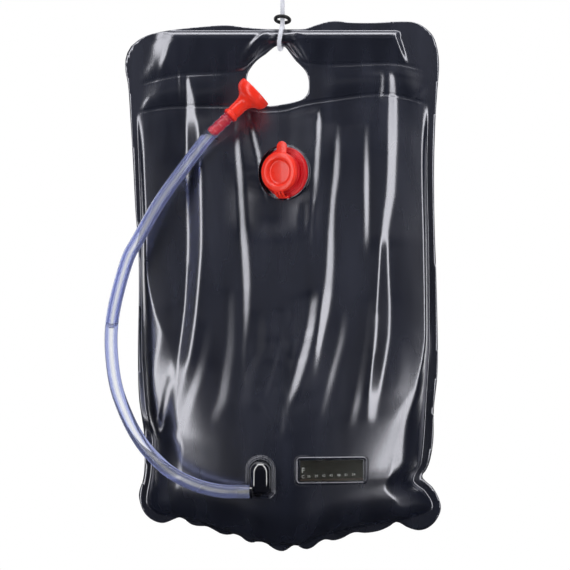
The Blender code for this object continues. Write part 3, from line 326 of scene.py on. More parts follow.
# %% Fold helpers
GENTLE_SIDE = 3.2
STEEPEST_PLAIN = 0.8
WIDE_BAND = 14.9
SOFT_START, CRISP_START = 0.34, 0.13
FADE_IN, FADE_OUT = 10, 16
DRIFT = 26


def fold_slopes(x, depth, out, folds):
    """Sideways slope to add for the folds, each a list of (depth, place, width, slope of the film there)."""
    slope = np.zeros_like(x)
    plain = np.clip(np.gradient(out, axis=1) / np.gradient(x, axis=1), -STEEPEST_PLAIN, STEEPEST_PLAIN)
    for stations in folds:
        depths, places, widths, slopes = (list(column) for column in zip(*stations))
        first, last = depths[0], depths[-1]
        inside = (depth > first) & (depth < last)
        place, width, steep = (curve(list(zip(depths, values)))(depth) for values in (places, widths, slopes))
        share = (x - place) / width
        soft = np.where(width > WIDE_BAND, SOFT_START, CRISP_START)
        band = inside * ease(-0.52 - soft, -0.52 + soft, share) * (1 - ease(0.25, 0.85, share))
        fade = ease(first, first + FADE_IN, depth) * (1 - ease(last - FADE_OUT, last, depth))
        slope += band * np.where(inside, fade, 0) * (steep - plain)
    return slope


def fold_heights(x, depth, out, folds):
    """Stand-out of the folds: their slopes added up along each row, less the slow drift."""
    slope = fold_slopes(x, depth, out, folds)
    height = np.zeros_like(x)
    height[:, 1:] = np.cumsum(0.5 * (slope[:, 1:] + slope[:, :-1]) * np.diff(x, axis=1), axis=1)
    even = np.arange(-200.0, 201.0)
    reach = np.arange(-3 * DRIFT, 3 * DRIFT + 1)
    kernel = np.exp(-0.5 * (reach / DRIFT) ** 2)
    kernel /= kernel.sum()
    for row in range(len(x)):
        level = np.interp(even, x[row], height[row])
        padded = np.pad(level, len(reach) // 2, mode="edge")
        height[row] -= np.interp(x[row], even, np.convolve(padded, kernel, "valid"))
    return height


# %% Crease helper
def crease_heights(x, depth, creases):
    """Stand-out of ridges, each (steep side, half width, height, [(place, depth), ...]) from the top down.

    The steep side is -1 for the left, 1 for the right and 0 for a ridge that is alike on both sides.
    """
    height = np.zeros_like(x)
    for steep, half, rise, line in creases:
        nearest = np.full_like(x, 1e6)
        taper, side = np.zeros_like(x), np.zeros_like(x)
        count = len(line) - 1
        for k, ((x0, d0), (x1, d1)) in enumerate(zip(line, line[1:])):
            run, drop = x1 - x0, d1 - d0
            t = np.clip(((x - x0) * run + (depth - d0) * drop) / (run**2 + drop**2), 0, 1)
            away = np.hypot(x - x0 - t * run, depth - d0 - t * drop)
            closer = away < nearest
            nearest = np.where(closer, away, nearest)
            side = np.where(closer, np.sign((x - x0) * drop - (depth - d0) * run), side)
            taper = np.where(closer, np.sin(np.pi * np.clip((k + t) / count, 0.03, 0.97)) ** 0.6, taper)
        wide = np.where(side * steep < 0, GENTLE_SIDE * half, half)
        height += rise * taper * np.exp(-((nearest / wide) ** 2))
    return height


# %% [markdown]
# ## One film as a sheet of small squares
# Each film is a grid whose rows follow the welds, with closer rows at the welds and closer columns at the
# sides, where the film turns steeply. The grid reaches past the cut edge. Then the faces outside the
# outline and inside the holes are dropped, and the points left along the cut are moved onto it.


# %% Rows and columns of the grid
SHEET_REACH = 193.0
ROD_MIDDLE = 2.9
ROD_HALF = 128.5
SLEEVE_CLOSES = (24.0, 5.5)
SLEEVE_SLANT = 0.36
ROUND_ROD = 0.8
WELD_HALF, WELD_DEEP = 2.2, 0.2
LIP_BELOW, LIP_ABOVE, LIP_WIDE = 0.15, 0.07, 0.9
SIDE_COLUMNS = (SHEET_REACH, 190, 187.5, 185.5, 183.5, 181.5, 179.5, 177.5, 175.5, 173.7, 172.2, 170.9)
ABOVE_ROD = (-30, -24, -21, -19.4, -18, -16.8, -15.6, -14.4, -13.3, -12.2, -11.2, -10.3, -9.5, -8.8)
UNDER_ROD = (0.83, 0.86, 0.885, 0.905, 0.925, 0.94, 0.955, 0.967, 0.978, 0.989, 1.0)
NEAR_WELD = np.array([0.015, 0.03, 0.045, 0.06, 0.08, 0.1, 0.125, 0.155])
CHAMBER_TOP = (0, 0.0012, 0.0024, 0.0036, 0.005, 0.0065, 0.008, 0.01, 0.0125)
PAST_SEAM = (0.9, 2, 3.2, 4.5, 5.8, 7.2, 8.6, 10, 11.5, 13, 15, 18, 23, 29, 36)


# %% Shape along the rows
def grid_places(count):
    """Places across the chamber, closer together near its side welds."""
    t = np.linspace(-1, 1, count)
    return CORNER * np.sign(t) * (0.86 * np.abs(t) + 0.14 * np.sin(np.abs(t) * np.pi / 2) ** 0.5)


def sleeve_at(x, share):
    """Depth and stand-out of the film round the rod, then down to the weld under it."""
    top, foot_most = math.radians(75), math.radians(62)
    foot = np.arcsin(np.minimum(SLEEVE_RADIUS / upper_weld(x), math.sin(foot_most)))
    angle = top - np.minimum(share / ROUND_ROD, 1.0) * (top + foot)
    depth = -SLEEVE_RADIUS * np.sin(angle)
    rest = np.clip((share - ROUND_ROD) / (1 - ROUND_ROD), 0, 1)
    depth = depth + rest * (upper_weld(x) - depth)
    past_rod = np.abs(x - ROD_MIDDLE) - ROD_HALF - SLEEVE_SLANT * np.maximum(depth, 0)
    closes = np.where(x < 0, *SLEEVE_CLOSES)
    out = SLEEVE_RADIUS * np.cos(angle) * (1 - 0.9 * ease(0, 1, past_rod / closes))
    out = out + rest * (WELDED - out)
    return depth, np.maximum(out, WELDED)


def band_at(x, share):
    """Depth and stand-out between the two welds, where the film stands a little off at the sides."""
    wide = ease(48, 75, np.abs(x + 7)) * (1 - ease(140, 165, np.abs(x)))
    depth = upper_weld(x) + share * (lower_weld(x) - upper_weld(x))
    return depth, WELDED + 2.5 * wide * math.sin(math.pi * share)


def chamber_at(x, share, bulge):
    """Depth and stand-out this share of the way down the water chamber."""
    return lower_weld(x) + share * (seam(x) - lower_weld(x)), chamber_out(x, share, bulge)


def weld_press(below):
    """The flat band that a weld bar presses, with the lip it squeezes up below it and a smaller one above."""
    lip = np.where(below > 0, LIP_BELOW, LIP_ABOVE)
    squeezed = lip * np.exp(-(((np.abs(below) - WELD_HALF - LIP_WIDE) / LIP_WIDE) ** 2))
    return squeezed - WELD_DEEP * np.exp(-((below / WELD_HALF) ** 4))


# %% Grid of one film
def film_grid(bulge, columns, chamber_rows):
    """Place, depth and stand-out of every grid point of one film, before its folds."""
    places = grid_places(columns)
    side = np.array(SIDE_COLUMNS) - CORNER
    reach = SHEET_REACH - CORNER
    rows = []

    def add(at, *shape):
        ends = []
        for end in (-1, 1):
            depth = at(np.array([end * CORNER]), *shape)[0][0]
            ends.append(float(side_weld(end, depth)))
        inner = np.interp(places, (-CORNER, CORNER), ends)
        left = ends[0] - side * (SHEET_REACH + ends[0]) / reach
        right = ends[1] + side[::-1] * (SHEET_REACH - ends[1]) / reach
        x = np.concatenate((left, inner, right))
        rows.append((x, *at(x, *shape)))

    for depth in ABOVE_ROD:
        add(lambda x: (np.full_like(x, depth), np.full_like(x, WELDED)))
    for share in (*np.linspace(0, ROUND_ROD, 17), *UNDER_ROD):
        add(sleeve_at, share)
    for share in (*NEAR_WELD, *np.linspace(0.19, 0.81, 20), *(1 - NEAR_WELD[::-1])):
        add(band_at, share)
    shares = np.concatenate((
        CHAMBER_TOP, np.linspace(0.016, 0.062, 10), np.linspace(0.065, 0.235, 44),
        np.linspace(0.242, 0.93, chamber_rows), np.linspace(0.937, 0.99, 12), [0.994, 0.9975, 1.0],
    ))
    for share in shares:
        add(chamber_at, share, bulge)
    for drop in PAST_SEAM:
        add(lambda x: (seam(x) + drop, np.full_like(x, WELDED)))
    return [np.array([row[k] for row in rows]) for k in range(3)]


# %% [markdown]
# ## Cutting a sheet to an outline
# The films were die-cut, so their edges are clean curves. Each grid point is measured against the outline:
# which side it is on, and the nearest place on the line.


# %% Line and face helpers
def closed_line(places, step):
    """A smooth closed line through (across, depth) places, as an array of points."""
    spots = [Vector((x, d, 0)) for x, d in places]
    return np.array([(p.x, p.y) for p in through(spots + spots[:1], step, spots[-1], spots[1])][:-1])


def grid_faces(shape):
    """Squares between the points of a grid, by their numbers row by row."""
    index = np.arange(shape[0] * shape[1]).reshape(shape)
    return np.stack((index[:-1, :-1], index[1:, :-1], index[1:, 1:], index[:-1, 1:]), axis=-1).reshape(-1, 4)


def measure_line(x, depth, line):
    """Distance inside a closed line (negative outside) and the nearest place on it, for arrays of points."""
    best = np.full(x.shape, 1e9)
    near_x, near_d = x.copy(), depth.copy()
    inside = np.zeros(x.shape, dtype=bool)
    for (x0, d0), (x1, d1) in zip(line, np.roll(line, -1, axis=0)):
        run = (x1 - x0) ** 2 + (d1 - d0) ** 2
        t = np.clip(((x - x0) * (x1 - x0) + (depth - d0) * (d1 - d0)) / run, 0, 1)
        px, pd = x0 + t * (x1 - x0), d0 + t * (d1 - d0)
        away = (x - px) ** 2 + (depth - pd) ** 2
        closer = away < best
        best = np.where(closer, away, best)
        near_x, near_d = np.where(closer, px, near_x), np.where(closer, pd, near_d)
        if d0 != d1:
            crosses = (d0 > depth) != (d1 > depth)
            inside ^= crosses & (x < (x1 - x0) * (depth - d0) / (d1 - d0) + x0)
    return np.where(inside, 1, -1) * np.sqrt(best), near_x, near_d


# %% Cutting helper
def cut_grid(x, depth, out, edge, holes):
    """Faces of the grid inside the edge and outside the holes, with the points on the cuts moved onto
    the lines, and each point's distance from the edge."""
    faces = grid_faces(x.shape)
    across = np.gradient(out, axis=1) / np.gradient(x, axis=1)
    down = (np.gradient(out, axis=0) - across * np.gradient(x, axis=0)) / np.gradient(depth, axis=0)
    x, depth, out, across, down = (values.ravel().copy() for values in (x, depth, out, across, down))
    to_edge = None
    for line, sign in [(edge, 1)] + [(hole, -1) for hole in holes]:
        room, near_x, near_d = measure_line(x, depth, line)
        if to_edge is None:
            to_edge = room
        kept = (sign * room)[faces].mean(axis=1) > 0
        on_cut = np.intersect1d(faces[kept], faces[~kept])
        out[on_cut] += (across * (near_x - x) + down * (near_d - depth))[on_cut]
        x[on_cut], depth[on_cut] = near_x[on_cut], near_d[on_cut]
        faces = faces[kept]
    used = np.unique(faces)
    renumber = np.zeros(len(x), dtype=int)
    renumber[used] = np.arange(len(used))
    return x[used], depth[used], out[used], renumber[faces], to_edge[used]


BEAD_RISE, BEAD_INSET, BEAD_WIDE = 0.12, 1.2, 1.1


def edge_bead(to_edge):
    """The small rounded rim that the cutting die leaves along the flange."""
    return BEAD_RISE * np.exp(-(((to_edge - BEAD_INSET) / BEAD_WIDE) ** 2))


def arch(wide, tall, steps):
    """An outline with a round top and a flat foot, centred on its own middle, as (across, up) points."""
    half = wide / 2
    corner = 0.18 * wide
    foot = [(-half, -tall / 2 + corner), (-half + corner, -tall / 2), (half - corner, -tall / 2)]
    angles = [math.pi * k / steps for k in range(steps + 1)]
    top = [(half * math.cos(a), tall / 2 - half + half * math.sin(a)) for a in angles]
    return [*foot, (half, -tall / 2 + corner), *top]


# %% Film of real thickness
def film_piece(name, side, x, depth, out, faces):
    """A film of its real thickness from its outer face, for the front (-1) or the back (1)."""
    verts = np.stack((x, side * out, ROD_Z - depth), axis=-1) * MM
    obj = add_mesh(name, verts, faces if side < 0 else faces[:, ::-1])
    skin = obj.modifiers.new("Film", "SOLIDIFY")
    skin.thickness = FILM * MM
    skin.offset = -1.0
    skin.use_even_offset = False
    solid = finished_mesh(obj)
    obj.modifiers.clear()
    obj.data = solid
    solid.shade_smooth()
    print(name, len(solid.polygons), "faces")
    return obj


# %% [markdown]
# ## The front film
# Its folds were measured on the photograph as lines of bright bands. Most folds on the left half turn to
# the left light, and most on the right half to the right one. A soft hollow below the filler leaves room
# for the open cap.

# %% Front folds
# (depth, place, width, slope) at each station of each fold
FRONT_FOLDS = [
    [
        (40, -110, 2.3, 0.16), (47, -110, 3.4, 0.44), (73, -106.8, 9.7, 0.44), (88, -106.3, 10.9, 0.44),
        (104, -104.8, 13.8, 0.72), (120, -104, 14.3, 0.85), (166, -102.3, 16.6, 0.92),
        (235, -101.1, 15.7, 0.95), (289, -103.7, 14, 0.95), (315, -105.7, 13.3, 0.95),
        (340, -108.6, 13.3, 0.92), (364, -112.1, 12.1, 0.85), (388, -116.2, 8.4, 0.44),
        (415, -120.2, 4, 0.37), (426, -121.5, 3.4, 0.16),
    ],
    [
        (93, -53.8, 1.1, 0.16), (100, -53.5, 2.9, 0.44), (116, -52.7, 5.7, 0.44), (135, -51.3, 7.4, 0.44),
        (167, -48.7, 9.2, 0.44), (204, -46.4, 9.2, 0.44), (241, -43.6, 10, 0.44), (265, -41.8, 10.4, 0.44),
        (292, -40.8, 9.7, 0.44), (328, -41.6, 8, 0.44), (361, -43.8, 5.7, 0.35), (390, -44.6, 6.3, 0.23),
        (408, -44.9, 6.8, 0.1),
    ],
    [
        (81, -40.1, 1.1, 0.16), (88, -39.2, 2.9, 0.44), (99, -36.6, 4.6, 0.44), (121, -31.5, 6.9, 0.44),
        (141, -26.9, 6.9, 0.44), (156, -25.1, 4.2, 0.44), (171, -22.9, 3.4, 0.44), (187, -18.3, 3.4, 0.44),
        (196, -16, 3.4, 0.1),
    ],
    [
        (77, 42.4, 1.1, -0.16), (85, 42.4, 2.3, -0.44), (99, 42.2, 6.3, -0.44), (121, 41.1, 6.9, -0.44),
        (160, 38.7, 7.4, -0.44), (181, 37.3, 6.9, -0.38), (193, 35.6, 4.6, -0.44), (205, 34.4, 4.6, -0.33),
        (229, 32.9, 5.2, -0.27), (249, 31.8, 5.1, -0.1),
    ],
    [
        (95, 64.8, 4.6, -0.1), (109, 64.2, 5.7, -0.27), (123, 63.6, 6.9, -0.38), (157, 61.8, 8.9, -0.44),
        (189, 58, 7.8, -0.44), (217, 56.1, 8.1, -0.44), (265, 54.4, 9.7, -0.44), (289, 52.3, 10.4, -0.44),
        (313, 48.9, 10.3, -0.44), (333, 45.7, 8.4, -0.44), (351, 42.4, 6.5, -0.44), (376, 38.8, 5.7, -0.27),
        (400, 35.3, 5.7, -0.1),
    ],
    [
        (95, 98, 4.6, -0.1), (111, 97.2, 5.2, -0.26), (133, 96.6, 6.4, -0.37), (160, 96.7, 7.2, -0.44),
        (204, 96.7, 6.6, -0.44), (229, 96.5, 6.4, -0.38), (246, 96.1, 5.7, -0.25), (260, 96.1, 5.7, -0.1),
    ],
    [
        (36, 125.2, 2.9, -0.16), (44, 126.6, 5.8, -0.44), (69, 127.8, 9.2, -0.44),
        (100, 127.2, 10.3, -0.44), (143, 126.1, 10.3, -0.44), (180, 124.3, 10.5, -0.44),
        (204, 120.7, 9.5, -0.44), (228, 117.6, 8.2, -0.44), (246, 116.5, 8.8, -0.8),
        (289, 115.7, 12.3, -0.92), (313, 115.4, 14.6, -0.95), (340, 114.2, 15.6, -0.95),
        (370, 110.6, 14.6, -0.92), (399, 106.4, 12.5, -0.75), (419, 103.6, 11.3, -0.44),
        (438, 101.7, 9.1, -0.38), (451, 100.5, 6.8, -0.1),
    ],
    [
        (36, 115.8, 3.4, -0.1), (46, 115.8, 4.6, -0.33), (69, 114.6, 5.7, -0.37), (78, 113.5, 5.7, -0.1),
    ],
    [
        (324, -83.8, 6.8, 0.1), (346, -86, 9.1, 0.28), (388, -95.3, 9.7, 0.33), (423, -107.3, 9.1, 0.33),
        (447, -114.1, 9.1, 0.28), (469, -119.6, 9.1, 0.1),
    ],
    [
        (286, -56.5, 6.9, 0.1), (309, -58.4, 8.6, 0.31), (351, -59.2, 10.3, 0.37), (388, -63.7, 11.4, 0.38),
        (417, -68.7, 11.4, 0.35), (435, -75.8, 9.7, 0.27), (453, -80.5, 10.2, 0.1),
    ],
    [
        (315, -23.3, 9.1, 0.1), (336, -23.9, 11.4, 0.28), (357, -24.2, 12, 0.31), (375, -31.3, 11.4, 0.31),
        (393, -37.5, 12.5, 0.28), (413, -41.4, 11.4, 0.23), (434, -44.8, 11.4, 0.1),
    ],
    [
        (309, 9.2, 5.7, 0.1), (328, 5.5, 6.3, 0.3), (357, -2.8, 6.8, 0.31), (388, -11.3, 6.8, 0.31),
        (409, -17.6, 6.8, 0.27), (423, -21, 6.8, 0.1),
    ],
    [
        (340, 9.7, 4.6, 0.1), (354, 7.7, 4, 0.33), (375, 2.6, 4, 0.44), (403, -0.8, 4, 0.38),
        (419, -4.2, 4, 0.1),
    ],
    [
        (288, 38.3, 9.1, 0.1), (309, 35.7, 10.8, 0.31), (333, 32.3, 10.8, 0.37), (375, 22, 12, 0.44),
        (405, 12.6, 11.4, 0.44), (426, 4.3, 7.4, 0.37), (452, 1.5, 5.1, 0.33), (467, 0.6, 4.5, 0.1),
    ],
    [
        (308, 72.5, 4.6, -0.1), (328, 70.8, 8, -0.28), (351, 67, 8.5, -0.37), (388, 57.2, 8.5, -0.37),
        (417, 49.8, 7.4, -0.31), (431, 46.1, 6.8, -0.23), (445, 42.6, 6.8, -0.1),
    ],
    [
        (355, 75.8, 6.8, -0.1), (375, 74.6, 8, -0.2), (412, 68.8, 8, -0.2), (434, 64.2, 9.1, -0.1),
    ],
    [
        (292, 103.4, 6.9, -0.1), (315, 101.3, 8.6, -0.32), (351, 96.6, 8.5, -0.37), (388, 90.5, 9.1, -0.38),
        (417, 85.6, 8.5, -0.37), (441, 80.7, 8, -0.28), (456, 77.3, 7.9, -0.1),
    ],
    [
        (340, 143.1, 9.1, -0.1), (361, 142.4, 11.4, -0.22), (388, 140, 11.4, -0.26),
        (412, 134.8, 11.4, -0.25), (426, 131.3, 11.4, -0.1),
    ],
    [
        (329, 170.5, 2.3, -0.16), (357, 169.8, 3.4, -0.44), (375, 167.4, 4.6, -0.44),
        (405, 156.2, 8.5, -0.44), (429, 140.7, 13.1, -0.38), (452, 131.5, 17.6, -0.28),
        (483, 128.8, 20.4, -0.23), (505, 127.7, 20.4, -0.1),
    ],
    [
        (304, -122.7, 15, 0.1), (324, -124.8, 17, 0.2), (349, -130.4, 19, 0.22), (378, -138.3, 21, 0.2),
        (406, -143.8, 19, 0.16), (440, -147, 17, 0.12), (462, -146.9, 16, 0.1),
    ],
    [
        (386, -125.7, 9.1, 0.1), (408, -132.1, 8.5, 0.28), (431, -136.6, 8.5, 0.28),
        (451, -141.6, 7.4, 0.22), (468, -144.6, 6.8, 0.1),
    ],
    [
        (189, 21.8, 3.4, -0.1), (201, 21.5, 4, -0.23), (221, 20.6, 4.6, -0.23), (235, 20.1, 4.6, -0.1),
    ],
]
print("front folds:", len(FRONT_FOLDS))

# %% Front creases
# (steep side, half width, height, line from the top down) of each ridge
FRONT_CREASES = [
    (-1, 2.6, 2.7, [(-12, -9), (-22, -4), (-33, 6), (-45, 21)]),
    (-1, 1.3, 1.2, [(-9, -5), (-19, 2), (-31, 14), (-41, 24)]),
    (-1, 1.0, 0.8, [(-8, 1), (-17, 9), (-28, 19), (-36, 27), (-44, 33), (-60, 36)]),
    (-1, 3.2, 1.5, [(-128, 2), (-132, 14), (-137, 28), (-142, 40)]),
    (1, 1.3, 1.5, [(5, -7), (13, 4), (22, 16), (30, 30)]),
    (1, 1.0, 1.1, [(3, 0), (10, 11), (18, 22), (25, 29)]),
    (-1, 1.5, 1.0, [(9, -10), (16, -6), (24, -3)]),
    (1, 1.2, 0.8, [(129, -4), (133, 5), (139, 15)]),
    (-1, 1.1, 0.7, [(-119.5, 36), (-118.6, 46), (-118.2, 60), (-118, 82)]),
    (-1, 2.4, 0.8, [(-146, 30), (-153, 36), (-160, 43)]),
    (-1, 2.6, 0.9, [(-152, 68), (-158, 76), (-163, 86)]),
    (1, 2.2, 0.7, [(150, 74), (158, 66), (165, 56)]),
    (-1, 1.6, 0.9, [(3, 436), (2.3, 446), (0.5, 456)]),
    (-1, 2.0, 0.7, [(-25, 420), (-18, 430), (-10, 441), (-5, 450)]),
    (1, 2.4, 1.3, [(139, 507), (150, 510), (163, 514)]),
    (-1, 1.6, 0.6, [(-156, 362), (-161, 370), (-164, 378)]),
]
print("front creases:", len(FRONT_CREASES))


# %% Wrinkle helpers
def weld_heights(x, depth):
    """The pressed bands of the two welds under the sleeve, fading into the flange at the sides."""
    inside = 1 - ease(158, 168, np.abs(x + 1))
    upper = weld_press(depth - upper_weld(x)) * ease(9, 16, upper_weld(x))
    return inside * (upper + weld_press(depth - lower_weld(x)))


def wrinkle_heights(x, depth):
    """All folds, creases and welds of the front film together."""
    pushed = front_out(x, depth) - filler_hollow(x, depth)
    level = np.where(depth > lower_weld(x), pushed, WELDED)
    folds = fold_heights(x, depth, level, FRONT_FOLDS)
    return folds + crease_heights(x, depth, FRONT_CREASES) + weld_heights(x, depth)


def surface_reader(x, depth, out):
    """A function that reads the film's stand-out at any place off the whole grid."""
    points = np.stack((x, depth, out), axis=-1).reshape(-1, 3)
    tree = BVHTree.FromPolygons(points.tolist(), grid_faces(x.shape).tolist())
    return lambda px, pd: tree.ray_cast(Vector((px, pd, 200)), Vector((0, 0, -1)))[0].z


# %% [markdown]
# ## The seat round the filler
# The filler's flange is welded to the film at a slant, so the sheet gets an oval hole there. Rings of squares
# then lead from the hole's edge down a short wall and onto the flange's plane, as the pressed film does.

# %% Seat helpers
# Middle and half sizes of the oval hole in the film, and where its wall ends past the hole's edge
SEAT_X, SEAT_DEPTH, SEAT_WIDE, SEAT_TALL = 2.35, -FILLER.z, 30.2, 32.5
SEAT_WALL = 2.8


def hole_loop(x, depth, faces):
    """The film's edge points round the seat's hole, in order."""
    ends = {(int(a), int(b)) for face in faces for a, b in zip(face, np.roll(face, -1))}
    around = np.hypot((x - SEAT_X) / SEAT_WIDE, (depth - SEAT_DEPTH) / SEAT_TALL)
    follow = {b: a for a, b in ends if (b, a) not in ends and around[a] < 1.02 and around[b] < 1.02}
    loop = [next(iter(follow))]
    while follow[loop[-1]] != loop[0]:
        loop.append(follow[loop[-1]])
    assert len(loop) == len(follow)
    return loop


def add_seat(x, depth, out, faces, read):
    """Fill the film's hole at the filler with rings that step down onto the flange's slanted plane."""
    loop = hole_loop(x, depth, faces)
    inner_radius = FILLER_RADIUS - 0.4
    points, rings = [], [loop]
    steps = [(step, 0.0) for step in np.arange(0.2, 2.9, 0.2)] + [(SEAT_WALL, 0.5), (SEAT_WALL, 1.0)]
    for near, share in steps:
        ring = []
        for i in loop:
            start = Vector((x[i], depth[i]))
            turn = math.atan2((depth[i] - SEAT_DEPTH) / SEAT_TALL, (x[i] - SEAT_X) / SEAT_WIDE)
            inner = Vector((
                FILLER_SEAT.x + inner_radius * math.cos(FILLER_TURN) * math.cos(turn),
                -FILLER.z + inner_radius * math.sin(turn),
            ))
            span = inner - start
            far = near + (span.length - near) * share
            px, pd = start + float(far) * span.normalized()
            slant = max(-FILLER_SEAT.y + math.tan(FILLER_TURN) * (px - FILLER_SEAT.x), 2.4)
            weight = float(ramp((far - 0.2) / 2.3, 0.25))
            film = read(px, pd)
            ring.append(len(x) + len(points))
            points.append((px, pd, film + weight * (slant - film)))
        rings.append(ring)
    count = len(loop)
    new = []
    for a, b in zip(rings, rings[1:]):
        new += [(a[k], a[(k + 1) % count], b[(k + 1) % count], b[k]) for k in range(count)]
    px, pd, po = np.array(points).T
    return np.append(x, px), np.append(depth, pd), np.append(out, po), np.vstack((faces, new))


# %% Front film
edge_line = closed_line(OUTLINE, 4.0)
hand_line = closed_line(HAND_HOLE, 3.0)
x, depth, out = film_grid(FRONT_BULGE, 192, 90)
out = out - filler_hollow(x, depth) + wrinkle_heights(x, depth)
read_film = surface_reader(x, depth, out)
circle = np.linspace(0, 2 * np.pi, 96, endpoint=False)
across, down = SEAT_X + SEAT_WIDE * np.cos(circle), SEAT_DEPTH + SEAT_TALL * np.sin(circle)
filler_line = np.stack((across, down), axis=-1)
arch_line = np.array([(OUTLET_X + px, OUTLET_DEPTH - pz) for px, pz in arch(22.4, 34.4, 16)])
x, depth, out, faces, to_edge = cut_grid(x, depth, out, edge_line, [hand_line, filler_line, arch_line])
out += edge_bead(to_edge)
x, depth, out, faces = add_seat(x, depth, out, faces, read_film)
bag_front = film_piece("bag_front", -1, x, depth, out, faces)
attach(bag_front, "bag")
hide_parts("front_panel")

# %% [markdown]
# ## The back film
# The back hangs the same way but nothing is fixed to it, so it has a few tall soft folds of its own. Above
# the lower weld both films are one sheet, so the back takes the front's wrinkles there, turned inside out.

# %% Back folds and film
BACK_FOLDS = [
    [(95, -96, 6, 0.1), (130, -94, 11, 0.4), (230, -90, 14, 0.5), (330, -96, 12, 0.42), (410, -110, 8, 0.1)],
    [(110, -46, 5, 0.1), (160, -42, 9, 0.42), (260, -38, 11, 0.44), (350, -36, 9, 0.36), (420, -42, 7, 0.1)],
    [(100, 12, 5, 0.1), (150, 10, 7, -0.36), (230, 6, 9, -0.4), (300, 3, 8, -0.1)],
    [(105, 55, 6, -0.1), (170, 52, 9, -0.44), (290, 48, 11, -0.46), (390, 36, 8, -0.1)],
    [(95, 104, 6, -0.1), (140, 102, 10, -0.44), (260, 97, 13, -0.5), (360, 92, 11, -0.4), (430, 86, 8, -0.1)],
    [(310, -70, 8, 0.1), (370, -76, 11, 0.34), (450, -92, 9, 0.1)],
    [(300, 74, 8, -0.1), (370, 66, 10, -0.36), (450, 56, 8, -0.1)],
]
x, depth, out = film_grid(BACK_BULGE, 180, 80)
own = fold_heights(x, depth, out, BACK_FOLDS)
shared = wrinkle_heights(x, depth)
in_band = 1 - ease(0, 14, depth - lower_weld(x))
x, depth, out, faces, to_edge = cut_grid(x, depth, out + own - in_band * shared, edge_line, [hand_line])
out += edge_bead(to_edge)
bag_back = film_piece("bag_back", 1, x, depth, out, faces)
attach(bag_back, "bag")
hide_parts("back_panel")

# %% [markdown]
# ## Shader groups for moulded and welded plastic
# Real mouldings are never quite even: their colour drifts a little, their gloss varies, and a fine grain or
# flow marks catch the light. Two small groups give that to every material here, each with its own values:
# one for grain, which also bends the surface, and one for slow patches.


# %% Node helpers
def new_group(name, inputs, outputs, kind="ShaderNodeTree"):
    """A node group with named inputs (name, type, value or None) and outputs (name, type)."""
    group = bpy.data.node_groups.new(name, kind)
    for label, socket_type, value in inputs:
        socket = group.interface.new_socket(label, in_out="INPUT", socket_type="NodeSocket" + socket_type)
        if value is not None:
            socket.default_value = value
    for label, socket_type in outputs:
        group.interface.new_socket(label, in_out="OUTPUT", socket_type="NodeSocket" + socket_type)
    return group, group.nodes.new("NodeGroupInput"), group.nodes.new("NodeGroupOutput")


def add_node(tree, kind, links=(), **settings):
    """A node with its settings, and links given as (input name or number, socket or value)."""
    node = tree.nodes.new(kind)
    for key, value in settings.items():
        setattr(node, key, value)
    for key, source in links:
        if isinstance(source, bpy.types.NodeSocket):
            tree.links.new(source, node.inputs[key])
        else:
            node.inputs[key].default_value = source
    return node


def calc(tree, operation, *values):
    """The result of a Math node on sockets or plain numbers."""
    return add_node(tree, "ShaderNodeMath", list(enumerate(values)), operation=operation).outputs[0]


# %% Grain and patch groups
def make_grain_group():
    """Fine grain as a height, in metres, for a Bump node."""
    inputs = [("Vector", "Vector", (0, 0, 0)), ("Size", "Float", 0.001), ("Depth", "Float", 1e-5)]
    group, start, end = new_group("surface_grain", inputs, [("Height", "Float")])
    fine = add_node(group, "ShaderNodeTexNoise", [
        ("Vector", start.outputs["Vector"]), ("Scale", calc(group, "DIVIDE", 1.0, start.outputs["Size"])),
        ("Detail", 3.0), ("Roughness", 0.6),
    ])
    rise = calc(group, "MULTIPLY", fine.outputs["Fac"], start.outputs["Depth"])
    group.links.new(rise, end.inputs["Height"])
    return group


def make_patch_group():
    """Slow patches between 0 and 1, stretched along Z by Stretch."""
    inputs = [("Vector", "Vector", (0, 0, 0)), ("Size", "Float", 0.02), ("Stretch", "Float", 1.0)]
    group, start, end = new_group("slow_patches", inputs, [("Fac", "Float")])
    shrink = calc(group, "DIVIDE", 1.0, start.outputs["Stretch"])
    scale = add_node(group, "ShaderNodeCombineXYZ", [("X", 1.0), ("Y", 1.0), ("Z", shrink)])
    moved = add_node(group, "ShaderNodeVectorMath", [(0, start.outputs["Vector"]), (1, scale.outputs[0])],
                     operation="MULTIPLY")
    noise = add_node(group, "ShaderNodeTexNoise", [
        ("Vector", moved.outputs[0]), ("Scale", calc(group, "DIVIDE", 1.0, start.outputs["Size"])),
        ("Detail", 2.0), ("Roughness", 0.5),
    ])
    sharper = add_node(group, "ShaderNodeMapRange", [
        ("Value", noise.outputs["Fac"]), ("From Min", 0.3), ("From Max", 0.7),
    ])
    group.links.new(sharper.outputs["Result"], end.inputs["Fac"])
    return group


GRAIN = make_grain_group()
PATCHES = make_patch_group()
print("shader groups:", GRAIN.name, PATCHES.name)


